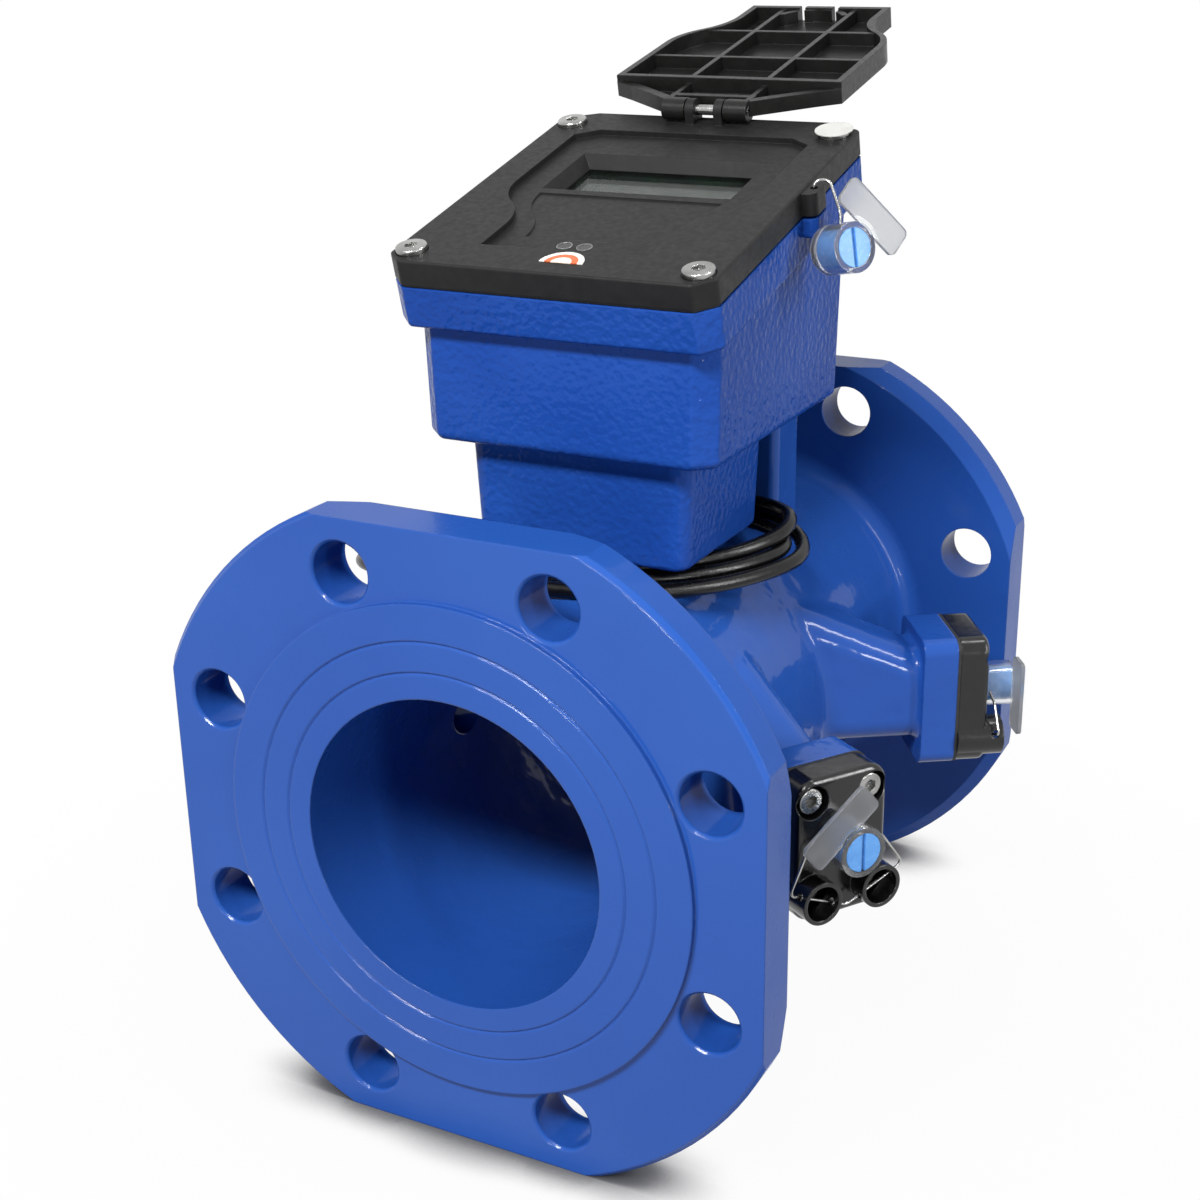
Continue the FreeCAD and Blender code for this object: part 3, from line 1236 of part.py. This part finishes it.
NODES = {
    "meter_body": meter_body(),
    "display_housing": display_housing(),
    "pedestal_gasket": pedestal_gasket(),
    "housing_bolts": housing_bolts(),
    "cover_gasket": cover_gasket(),
    "front_cover": front_cover(),
    "cover_screws": cover_screws(),
    "window_lens": placed(lens_block(0), COVER_FRAME),
    "lcd_module": lcd_module(),
    "circuit_board": circuit_board(),
    "board_screws": board_screws(),
    "battery_cell": battery_cell(),
    "battery_cradle": battery_cradle(),
    "ir_windows": ir_windows(),
    "white_sticker": white_sticker(),
    "ring_sticker": ring_sticker(),
    "hinge_pin": hinge_pin(),
    "flip_lid": flip_lid(),
    "cable_gland": cable_gland(),
    "gland_nut": gland_nut(),
    "cable_lead": cable_lead(),
    "cable_coil": cable_coil(),
}
NODES.update(arm_nodes())
NODES.update(seal_nodes())
export_nodes(NODES)
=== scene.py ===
"""Looks of a flanged ultrasonic water meter: paints, plastics, steel, seals and its coiled signal cable."""

import math

import bpy
from mathutils import Matrix, Vector

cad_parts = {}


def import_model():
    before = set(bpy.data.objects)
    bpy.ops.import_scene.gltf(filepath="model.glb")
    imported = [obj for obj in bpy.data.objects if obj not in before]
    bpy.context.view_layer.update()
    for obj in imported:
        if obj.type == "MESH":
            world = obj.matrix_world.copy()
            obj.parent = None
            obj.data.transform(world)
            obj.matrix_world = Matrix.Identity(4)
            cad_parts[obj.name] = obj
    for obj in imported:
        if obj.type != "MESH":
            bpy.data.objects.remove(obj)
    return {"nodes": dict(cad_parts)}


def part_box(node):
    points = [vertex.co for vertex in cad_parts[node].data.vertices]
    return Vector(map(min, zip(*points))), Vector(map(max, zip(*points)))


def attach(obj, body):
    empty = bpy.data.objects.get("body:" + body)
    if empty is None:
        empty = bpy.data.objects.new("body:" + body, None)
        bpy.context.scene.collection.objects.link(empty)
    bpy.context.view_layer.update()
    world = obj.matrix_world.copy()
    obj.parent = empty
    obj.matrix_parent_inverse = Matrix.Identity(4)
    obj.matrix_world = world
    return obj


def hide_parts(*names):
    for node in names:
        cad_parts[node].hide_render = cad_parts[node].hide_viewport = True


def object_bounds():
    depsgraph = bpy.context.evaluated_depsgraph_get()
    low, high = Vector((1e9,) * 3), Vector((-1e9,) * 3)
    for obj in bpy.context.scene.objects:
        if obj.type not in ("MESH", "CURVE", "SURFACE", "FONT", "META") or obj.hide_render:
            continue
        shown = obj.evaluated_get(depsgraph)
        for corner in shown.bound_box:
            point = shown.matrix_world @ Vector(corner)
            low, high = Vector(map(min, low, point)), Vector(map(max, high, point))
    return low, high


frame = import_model()
cad_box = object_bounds()
nodes_of = frame["nodes"]
scene = bpy.context.scene

MM = 0.001

# View of the photograph, taken as 1200 by 1200 pixels
IMAGE_PX = 1200
FOCAL_PX = 1883.878
SENSOR = 36.0
NEAREST_SEEN = 0.01
AZIMUTH = math.radians(27.893)
ELEVATION = math.radians(20.586)
ROLL = math.radians(-0.958)
EYE = Vector((271.3, -539.8, 265.8)) * MM

# Sloping cover: its frame, and the places on it that get detail here
COVER_MIDDLE = Vector((0, -1.13, 177.91)) * MM
COVER_SLOPE = math.radians(14.24)
COVER_FRAME = Matrix.Translation(COVER_MIDDLE) @ Matrix.Rotation(COVER_SLOPE, 4, "X")
RING_STICKER_AT = COVER_FRAME @ (Vector((3.8, -56.4, 0.3)) * MM)
RING_STICKER_REACH = 8 * MM
IR_AT = [COVER_FRAME @ (Vector((x, -40.5, -2.0)) * MM) for x in (-3.4, 3.4)]
IR_RIM_R = 2.45 * MM
IR_RIM_T = 0.22 * MM
IR_RIM_POINTS = 12

# Twist seals: distances from the rotor between which the clear body turns into the frosted flag
SEAL_CLEAR_TO = 9.8 * MM
SEAL_FROSTED_FROM = 10.8 * MM

# Shares of the way from the middle to an end face where the machined flange and its end faces start
HALF_LENGTH = 0.125
FLANGE_FROM = 0.8
END_FACES_FROM = 0.98
# Share over which the waves of the raw casting fade out before the flange
FADE_WIDTH = 0.03

# Smoothness of the tubes that follow splines
SPLINE_ORDER = 3
SPLINE_STEPS = 6
TUBE_STEPS = 6

# Signal cable: the lead's own points, then three loose turns
CABLE_D = 5 * MM
LEAD = (
    (-5, 27, 93.5),
    (-5, 27, 85.5),
    (-8.2, 27.2, 77.5),
    (-14.6, 27.7, 71.5),
    (-23.4, 28.3, 68.7),
    (-33, 27, 67.5),
    (-43.5, 21.5, 63),
)
TURN_POINTS = 16
COIL_START = 0.2
COIL_END = 3.04
COIL_CENTRE = (-7.9, -7.8)
COIL_ROUND = 2.3
# How far each pass reaches from the centre, and how high it lies, turn after turn
COIL_RIGHT = (59.6, 54.0, 49.6)
COIL_LEFT = (57.0, 49.2, 42.2)
COIL_FRONT = (68.0, 49.2, 43.0)
COIL_BACK = (54.4, 41.0, 35.4, 39.6)
COIL_SKEW = (0.46, 0.52, 0.67)
COIL_RIGHT_Z = (58.8, 61.2, 69.2)
COIL_LEFT_Z = (56.7, 57.4, 60.5)
COIL_FRONT_Z = (66.0, 64.6, 63.8)
COIL_BACK_Z = (66.9, 64.3, 64.3, 70.8)
COIL_RISE_LAG = (0.0, 0.0, 0.165)
# Where in a turn the coil passes each side, and how sharply the heights change between them
BACK_AT = 0
LEFT_AT = 0.25
FRONT_AT = 0.5
RIGHT_AT = 0.75
QUARTER = 0.25
HEIGHT_POWER = 4

# Floor: half its side, reach of its painted contact shadow, and distances between which it turns plain
# white
FLOOR_HALF = 4.0
PAINTED_SHADOW_REACH = 0.03
SHADED_TO = 0.12
PLAIN_FROM = 0.3

# Strength of the soft light from all around
SOFT_LIGHT = 0.09

# Lamps: place and aim in metres, width and height in metres, watts
LAMPS = {
    "key": ((0, -1.2, 1.25), (0, 0, 0.05), (0.9, 0.25), 40),
    "side": ((1.65, 0.05, 0.75), (0, 0, 0.05), (0.15, 1.2), 17),
    "glint_low": ((-0.1, -1.75, 0.15), (0, 0, 0.12), (0.2, 0.2), 5),
    "glint_right": ((1.6, -0.75, 0.25), (0, 0, 0.12), (0.18, 0.18), 4),
    "glint_top": ((0.5, 0.35, 1.5), (0, 0, 0.05), (0.2, 0.07), 2),
}


def linear(value):
    """One sRGB channel, 0 to 255, as linear light."""
    share = value / 255
    return share / 12.92 if share <= 0.04045 else ((share + 0.055) / 1.055) ** 2.4


def srgb(red, green, blue):
    return (linear(red), linear(green), linear(blue), 1.0)


def grey(value):
    return (value, value, value, 1.0)


class Finish:
    """A node material with one principled shader, built up by its methods."""

    def __init__(self, name, **sockets):
        self.material = bpy.data.materials.new(name)
        self.material.use_nodes = True
        tree = self.material.node_tree
        tree.nodes.clear()
        self.nodes = tree.nodes
        self.links = tree.links
        self.shader = self.add("BsdfPrincipled")
        self.output = self.add("OutputMaterial")
        self.links.new(self.shader.outputs["BSDF"], self.output.inputs["Surface"])
        self.place = self.add("TexCoord").outputs["Object"]
        for socket, value in sockets.items():
            self.shader.inputs[socket.replace("_", " ")].default_value = value

    def add(self, kind):
        return self.nodes.new("ShaderNode" + kind)

    def noise(self, per_metre, detail=3.0, roughness=0.5):
        made = self.add("TexNoise")
        made.inputs["Scale"].default_value = per_metre
        made.inputs["Detail"].default_value = detail
        made.inputs["Roughness"].default_value = roughness
        self.links.new(self.place, made.inputs["Vector"])
        return made.outputs["Fac"]

    def distance(self, centre):
        """How far a point of the surface lies from a centre, in metres."""
        made = self.add("VectorMath")
        made.operation = "DISTANCE"
        made.inputs[1].default_value = centre
        self.links.new(self.place, made.inputs[0])
        return made.outputs["Value"]

    def scaled(self, value, low, high):
        """A value brought from a range to 0 to 1, kept inside it."""
        made = self.add("MapRange")
        made.inputs["From Min"].default_value = low
        made.inputs["From Max"].default_value = high
        self.links.new(value, made.inputs["Value"])
        return made.outputs["Result"]

    def along_pipe(self):
        """Distance from the middle of the meter along its pipe."""
        parts = self.add("SeparateXYZ")
        self.links.new(self.place, parts.inputs["Vector"])
        size = self.add("Math")
        size.operation = "ABSOLUTE"
        self.links.new(parts.outputs["Y"], size.inputs[0])
        return size.outputs["Value"]

    def ramp(self, factor, *stops, steps=False):
        """Colours at places along the factor, as (place, colour) pairs."""
        made = self.add("ValToRGB")
        if steps:
            made.color_ramp.interpolation = "CONSTANT"
        elements = made.color_ramp.elements
        while len(elements) < len(stops):
            elements.new(0.5)
        for element, (place, colour) in zip(elements, stops):
            element.position = place
            element.color = colour
        self.links.new(factor, made.inputs["Fac"])
        return made.outputs["Color"]

    def greys(self, factor, low, high, start=0.3, end=0.7):
        return self.ramp(factor, (start, grey(low)), (end, grey(high)))

    def give(self, socket, value):
        self.links.new(value, self.shader.inputs[socket])
        return self

    def vary_colour(self, factor, dark, light, start=0.3, end=0.7):
        return self.give("Base Color", self.ramp(factor, (start, dark), (end, light)))

    def vary_roughness(self, factor, smooth, rough, start=0.3, end=0.7):
        return self.give("Roughness", self.greys(factor, smooth, rough, start, end))

    def turn_to(self, normal):
        """Shades the surface and its clear coat by that normal."""
        for socket in ("Normal", "Coat Normal"):
            self.links.new(normal, self.shader.inputs[socket])
        return self

    def soft_edges(self, radius):
        """Lets sharp edges catch the light as if they were rounded."""
        made = self.add("Bevel")
        made.samples = 6
        made.inputs["Radius"].default_value = radius
        return self.turn_to(made.outputs["Normal"])

    def bump(self, height, depth, strength=1.0):
        """Stacks a bump of that depth in metres on the bumps given before."""
        made = self.add("Bump")
        if isinstance(strength, bpy.types.NodeSocket):
            self.links.new(strength, made.inputs["Strength"])
        else:
            made.inputs["Strength"].default_value = strength
        made.inputs["Distance"].default_value = depth
        self.links.new(height, made.inputs["Height"])
        normal = self.shader.inputs["Normal"]
        if normal.is_linked:
            self.links.new(normal.links[0].from_socket, made.inputs["Normal"])
        return self.turn_to(made.outputs["Normal"])


def body_paint():
    """Glossy paint: wavy over the raw casting, smooth on the machined flange faces."""
    made = Finish("body_paint", Coat_Roughness=0.04, Specular_IOR_Level=0.06)
    made.soft_edges(0.9 * MM)
    made.vary_colour(made.noise(9, detail=4), srgb(30, 72, 150), srgb(36, 79, 158), start=0.35, end=0.65)
    made.vary_roughness(made.noise(45, detail=4), smooth=0.2, rough=0.32)
    share = made.scaled(made.along_pipe(), 0.0, HALF_LENGTH)
    casting = (0.0, grey(0.35))
    rims = (FLANGE_FROM, grey(0.12))
    faces = (END_FACES_FROM, grey(0.5))
    made.give("Coat Weight", made.ramp(share, casting, rims, faces, steps=True))
    waves = made.greys(share, low=0.6, high=0.02, start=FLANGE_FROM - FADE_WIDTH, end=FLANGE_FROM)
    made.bump(made.noise(70, detail=2, roughness=0.4), depth=1.1 * MM, strength=waves)
    return made.bump(made.noise(380, detail=2), depth=0.08 * MM, strength=0.35).material


def housing_paint():
    """Glossy hammered paint with small smooth lumps."""
    made = Finish("housing_paint", Coat_Weight=0.16, Coat_Roughness=0.05, Specular_IOR_Level=0.01)
    made.soft_edges(0.6 * MM)
    made.vary_colour(made.noise(22, detail=4), srgb(25, 65, 145), srgb(31, 72, 153), start=0.35, end=0.65)
    made.vary_roughness(made.noise(160), smooth=0.1, rough=0.2)
    made.bump(made.noise(440, detail=1, roughness=0.35), depth=0.8 * MM, strength=0.6)
    return made.bump(made.noise(900, detail=2), depth=0.08 * MM, strength=0.4).material


def moulded_plastic(name, dark, light, rough, grain=0.06 * MM, edge=0.4 * MM, shine=0.5):
    """Plastic with a fine grain, between two sRGB colours and two values of roughness."""
    made = Finish(name, Specular_IOR_Level=shine)
    made.soft_edges(edge)
    made.vary_colour(made.noise(260, detail=5), srgb(*dark), srgb(*light))
    made.vary_roughness(made.noise(500), *rough)
    return made.bump(made.noise(2600, detail=2), depth=grain, strength=0.6).material


def metal(name, dark, light, rough):
    """Bare metal between two sRGB colours and two values of roughness."""
    made = Finish(name, Metallic=1.0)
    made.soft_edges(0.3 * MM)
    made.vary_colour(made.noise(90, detail=4), srgb(*dark), srgb(*light))
    made.vary_roughness(made.noise(400, roughness=0.6), *rough)
    return made.bump(made.noise(1800, detail=2, roughness=0.6), depth=0.03 * MM, strength=0.4).material


def lens_glass():
    """Clear window that bends and reflects light only a little."""
    made = Finish("lens_glass", Transmission_Weight=1.0, IOR=1.16)
    made.vary_colour(made.noise(120), srgb(225, 235, 230), grey(1.0))
    made.vary_roughness(made.noise(200), smooth=0.0, rough=0.05)
    return made.material


def seal_plastic(name, rotor):
    """Clear round body about the rotor, and a frosted flag beyond it."""
    low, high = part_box(rotor)
    middle = (Vector(low) + Vector(high)) / 2
    made = Finish(name, IOR=1.49)
    made.soft_edges(0.4 * MM)
    frosted = made.scaled(made.distance(middle), SEAL_CLEAR_TO, SEAL_FROSTED_FROM)
    made.vary_colour(frosted, srgb(240, 242, 244), srgb(178, 180, 184), start=0.0, end=1.0)
    made.give("Transmission Weight", made.greys(frosted, low=0.96, high=0.85, start=0.0, end=1.0))
    made.vary_roughness(frosted, smooth=0.05, rough=0.3, start=0.0, end=1.0)
    return made.bump(made.noise(500, detail=2), depth=0.06 * MM, strength=0.4).material


def sticker(name, coat):
    """Paper of a sticker, before its colours are given."""
    made = Finish(name, Coat_Weight=coat)
    made.vary_roughness(made.noise(300), smooth=0.4, rough=0.55)
    return made.bump(made.noise(900), depth=0.04 * MM, strength=0.4)


def white_sticker():
    made = sticker("sticker_white", 0.2)
    return made.vary_colour(made.noise(150, detail=5), srgb(190, 190, 186), srgb(206, 206, 202)).material


def ringed_sticker():
    """Half round sticker: pale middle, orange ring, white margin."""
    made = sticker("sticker_orange", 0.25)
    reach = made.scaled(made.distance(RING_STICKER_AT), 0.0, RING_STICKER_REACH)
    pale = (0.0, srgb(243, 222, 208))
    orange = (0.42, srgb(206, 98, 46))
    white = (0.68, srgb(238, 234, 230))
    return made.give("Base Color", made.ramp(reach, pale, orange, white, steps=True)).material


PLASTICS = {
    "cover_plastic": dict(dark=(22, 22, 22), light=(29, 29, 29), rough=(0.42, 0.55), shine=0.18),
    "lid_plastic": dict(dark=(19, 19, 18), light=(25, 25, 24), rough=(0.28, 0.4), shine=0.22),
    "cap_plastic": dict(
        dark=(9, 9, 10),
        light=(15, 15, 16),
        rough=(0.14, 0.26),
        grain=0.02 * MM,
        edge=0.7 * MM,
    ),
    "gland_plastic": dict(dark=(22, 22, 24), light=(30, 30, 33), rough=(0.4, 0.55)),
    "rubber": dict(dark=(16, 16, 17), light=(26, 26, 27), rough=(0.6, 0.8)),
    "lcd_glass": dict(
        dark=(13, 21, 17),
        light=(22, 33, 27),
        rough=(0.12, 0.2),
        grain=0.01 * MM,
        shine=0.12,
    ),
    "board_green": dict(dark=(18, 74, 44), light=(28, 92, 56), rough=(0.35, 0.5)),
    "battery_wrap": dict(dark=(40, 92, 60), light=(54, 110, 72), rough=(0.3, 0.4)),
    "ir_plastic": dict(dark=(24, 22, 24), light=(40, 36, 40), rough=(0.06, 0.14), grain=0.01 * MM),
    # Painted highlight: the infrared window rims are light grey in place of the gloss along the windows'
    # edges
    "ir_rim": dict(dark=(92, 92, 92), light=(120, 120, 120), rough=(0.1, 0.2), grain=0.01 * MM),
    "seal_blue": dict(dark=(76, 136, 204), light=(90, 150, 214), rough=(0.2, 0.32), grain=0.03 * MM),
    "cable_jacket": dict(dark=(7, 7, 8), light=(12, 12, 13), rough=(0.2, 0.3), grain=0.02 * MM, shine=0.3),
}
METALS = {
    "stainless": dict(dark=(140, 140, 138), light=(190, 190, 188), rough=(0.16, 0.34)),
    "sensor_steel": dict(dark=(150, 150, 150), light=(185, 185, 188), rough=(0.25, 0.45)),
}
FINISHES = {
    "body_paint": body_paint(),
    "housing_paint": housing_paint(),
    "lens_glass": lens_glass(),
    "sticker_white": white_sticker(),
    "sticker_orange": ringed_sticker(),
    **{name: moulded_plastic(name, **look) for name, look in PLASTICS.items()},
    **{name: metal(name, **look) for name, look in METALS.items()},
}


def dress_nodes():
    """Every node of the model takes the finish of its own material slot."""
    for name, node in nodes_of.items():
        for slot in node.material_slots:
            finish = "lid_plastic" if name == "flip_lid" else slot.material.name.split(".")[0]
            if finish == "seal_clear":
                slot.material = seal_plastic(name + "_clear", name.replace("body", "rotor"))
            else:
                slot.material = FINISHES[finish]


def put(name, data):
    """A new object in the scene."""
    made = bpy.data.objects.new(name, data)
    scene.collection.objects.link(made)
    return made


def tube(name, points, radius, cyclic=False):
    """A round tube on one smooth spline that its points guide."""
    curve = bpy.data.curves.new(name, "CURVE")
    curve.dimensions = "3D"
    curve.bevel_depth = radius
    curve.bevel_resolution = TUBE_STEPS
    curve.resolution_u = SPLINE_STEPS
    curve.use_fill_caps = not cyclic
    spline = curve.splines.new("NURBS")
    spline.points.add(len(points) - 1)
    for point, place in zip(spline.points, points):
        point.co = (*place, 1)
    spline.order_u = SPLINE_ORDER
    spline.use_endpoint_u = not cyclic
    spline.use_cyclic_u = cyclic
    return put(name, curve)


def along(values, turn, phase):
    """A value that changes steadily from turn to turn, given where each pass of the coil meets it."""
    place = min(max(turn - phase, 0), len(values) - 1)
    step = min(int(place), len(values) - 2)
    return values[step] + (values[step + 1] - values[step]) * (place - step)


def coil_angle(turn):
    return 2 * math.pi * (turn + QUARTER)


def coil_point(turn):
    """A point of the coil: a skewed round loop that grows smaller from turn to turn."""
    cosine = math.cos(coil_angle(turn))
    sine = math.sin(coil_angle(turn))
    power = 2 / COIL_ROUND
    deep = along(COIL_BACK, turn, BACK_AT) if sine > 0 else -along(COIL_FRONT, turn, FRONT_AT)
    wide = along(COIL_RIGHT, turn, RIGHT_AT) if cosine > 0 else -along(COIL_LEFT, turn, LEFT_AT)
    deep *= abs(sine) ** power
    wide *= abs(cosine) ** power
    x = COIL_CENTRE[0] + wide + along(COIL_SKEW, turn, RIGHT_AT) * deep
    return (x, COIL_CENTRE[1] + deep, coil_height(turn))


def coil_height(turn):
    """Height of the coil, blended from the heights of the passes to either side of that point."""
    late = turn - along(COIL_RISE_LAG, turn, RIGHT_AT)
    cosine = math.cos(coil_angle(late))
    sine = math.sin(coil_angle(late))
    side_share = cosine ** HEIGHT_POWER
    end_share = sine ** HEIGHT_POWER
    side_z = along(COIL_RIGHT_Z, late, RIGHT_AT) if cosine > 0 else along(COIL_LEFT_Z, late, LEFT_AT)
    end_z = along(COIL_BACK_Z, late, BACK_AT) if sine > 0 else along(COIL_FRONT_Z, late, FRONT_AT)
    return (side_z * side_share + end_z * end_share) / (side_share + end_share)


def cable_route():
    count = round((COIL_END - COIL_START) * TURN_POINTS)
    turns = [COIL_START + (COIL_END - COIL_START) * step / count for step in range(count + 1)]
    return [Vector(point) * MM for point in LEAD + tuple(coil_point(turn) for turn in turns)]


def signal_cable():
    """The cable on one smooth spline, from the gland through its turns to its bare end."""
    route = cable_route()
    cable = tube("signal_cable", route, CABLE_D / 2)
    cable.data.materials.append(FINISHES["cable_jacket"])
    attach(cable, "meter")
    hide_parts("cable_lead", "cable_coil")


def ir_rims():
    """Fine raised rims of the two infrared windows, light grey as a painted highlight along their edges."""
    across = COVER_FRAME.to_3x3()
    angles = [2 * math.pi * step / IR_RIM_POINTS for step in range(IR_RIM_POINTS)]
    for side, centre in zip(("left", "right"), IR_AT):
        ring = [centre + across @ Vector((math.cos(a), math.sin(a), 0)) * IR_RIM_R for a in angles]
        rim = tube("ir_rim_" + side, ring, IR_RIM_T, cyclic=True)
        rim.data.materials.append(FINISHES["ir_rim"])
        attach(rim, "meter")


def seen_directly(nodes, links):
    """One for rays from the camera, and for those that a glossy or clear surface sends on."""
    path = nodes.new("ShaderNodeLightPath")
    value = path.outputs["Is Camera Ray"]
    for kind in ("Is Glossy Ray", "Is Transmission Ray"):
        either = nodes.new("ShaderNodeMath")
        either.operation = "MAXIMUM"
        links.new(value, either.inputs[0])
        links.new(path.outputs[kind], either.inputs[1])
        value = either.outputs["Value"]
    return value


def floor():
    """White floor whose glow carries a painted contact shadow from ambient occlusion, with a small lit
    share that keeps a little real shadow near the object; it turns plain white away from it.
    """
    low = cad_box[0][2]
    signs = ((-1, -1), (1, -1), (1, 1), (-1, 1))
    mesh = bpy.data.meshes.new("floor")
    mesh.from_pydata([(x * FLOOR_HALF, y * FLOOR_HALF, low) for x, y in signs], [], [(0, 1, 2, 3)])
    made = put("floor", mesh)
    finish = Finish("floor", Roughness=0.8, Specular_IOR_Level=0.1)
    finish.vary_colour(finish.noise(3, detail=2), srgb(150, 150, 152), srgb(156, 156, 158))
    # Painted contact shadow: ambient occlusion darkens the glow from near black under the object, through
    # grey beside it, to white in the open
    painted_shadow_ao = finish.add("AmbientOcclusion")
    painted_shadow_ao.samples = 24
    painted_shadow_ao.inputs["Distance"].default_value = PAINTED_SHADOW_REACH
    painted_shadow_under = (0.15, srgb(20, 21, 28))
    painted_shade_beside = (0.5, srgb(104, 105, 110))
    free = (0.8, grey(1.0))
    # Glow seen directly, its colour taken from the painted shadow ramp
    white = finish.add("Emission")
    finish.links.new(finish.ramp(painted_shadow_ao.outputs["AO"], painted_shadow_under, painted_shade_beside, free), white.inputs["Color"])
    away = finish.scaled(finish.distance((0, 0, low)), SHADED_TO, PLAIN_FROM)
    share = finish.add("Math")
    share.operation = "MULTIPLY"
    finish.links.new(finish.greys(away, low=0.96, high=1.0, start=0.0, end=1.0), share.inputs[0])
    finish.links.new(seen_directly(finish.nodes, finish.links), share.inputs[1])
    mix = finish.add("MixShader")
    finish.links.new(share.outputs["Value"], mix.inputs["Fac"])
    finish.links.new(finish.shader.outputs["BSDF"], mix.inputs[1])
    finish.links.new(white.outputs["Emission"], mix.inputs[2])
    finish.links.new(mix.outputs["Shader"], finish.output.inputs["Surface"])
    mesh.materials.append(finish.material)


def lamp(name, place, aim, size, watts):
    data = bpy.data.lights.new(name, "AREA")
    data.shape = "RECTANGLE"
    data.size, data.size_y = size
    data.energy = watts
    made = put(name, data)
    made.location = place
    made.rotation_euler = (Vector(aim) - Vector(place)).to_track_quat("-Z", "Y").to_euler()


def world():
    """White where it is seen, and a soft light of low strength for everything else."""
    made = bpy.data.worlds.new("studio")
    made.use_nodes = True
    nodes = made.node_tree.nodes
    links = made.node_tree.links
    nodes.clear()
    output = nodes.new("ShaderNodeOutputWorld")
    soft = nodes.new("ShaderNodeBackground")
    soft.inputs["Strength"].default_value = SOFT_LIGHT
    white = nodes.new("ShaderNodeBackground")
    white.inputs["Color"].default_value = (1, 1, 1, 1)
    mix = nodes.new("ShaderNodeMixShader")
    links.new(seen_directly(nodes, links), mix.inputs["Fac"])
    links.new(soft.outputs["Background"], mix.inputs[1])
    links.new(white.outputs["Background"], mix.inputs[2])
    links.new(mix.outputs["Shader"], output.inputs["Surface"])
    scene.world = made


def camera():
    data = bpy.data.cameras.new("camera")
    data.sensor_width = SENSOR
    data.lens = FOCAL_PX / IMAGE_PX * SENSOR
    data.clip_start = NEAREST_SEEN
    made = put("camera", data)
    sin_a = math.sin(AZIMUTH)
    cos_a = math.cos(AZIMUTH)
    sin_e = math.sin(ELEVATION)
    cos_e = math.cos(ELEVATION)
    right = Vector((cos_a, sin_a, 0))
    up = Vector((-sin_a * sin_e, cos_a * sin_e, cos_e))
    back = Vector((sin_a * cos_e, -cos_a * cos_e, sin_e))
    across = math.cos(ROLL) * right + math.sin(ROLL) * up
    upward = -math.sin(ROLL) * right + math.cos(ROLL) * up
    turn = Matrix((across, upward, back)).transposed().to_4x4()
    made.matrix_world = Matrix.Translation(EYE) @ turn
    scene.camera = made


camera()
signal_cable()
dress_nodes()
ir_rims()
floor()
world()
for lamp_name, setting in LAMPS.items():
    lamp(lamp_name, *setting)
scene.view_settings.view_transform = "Standard"
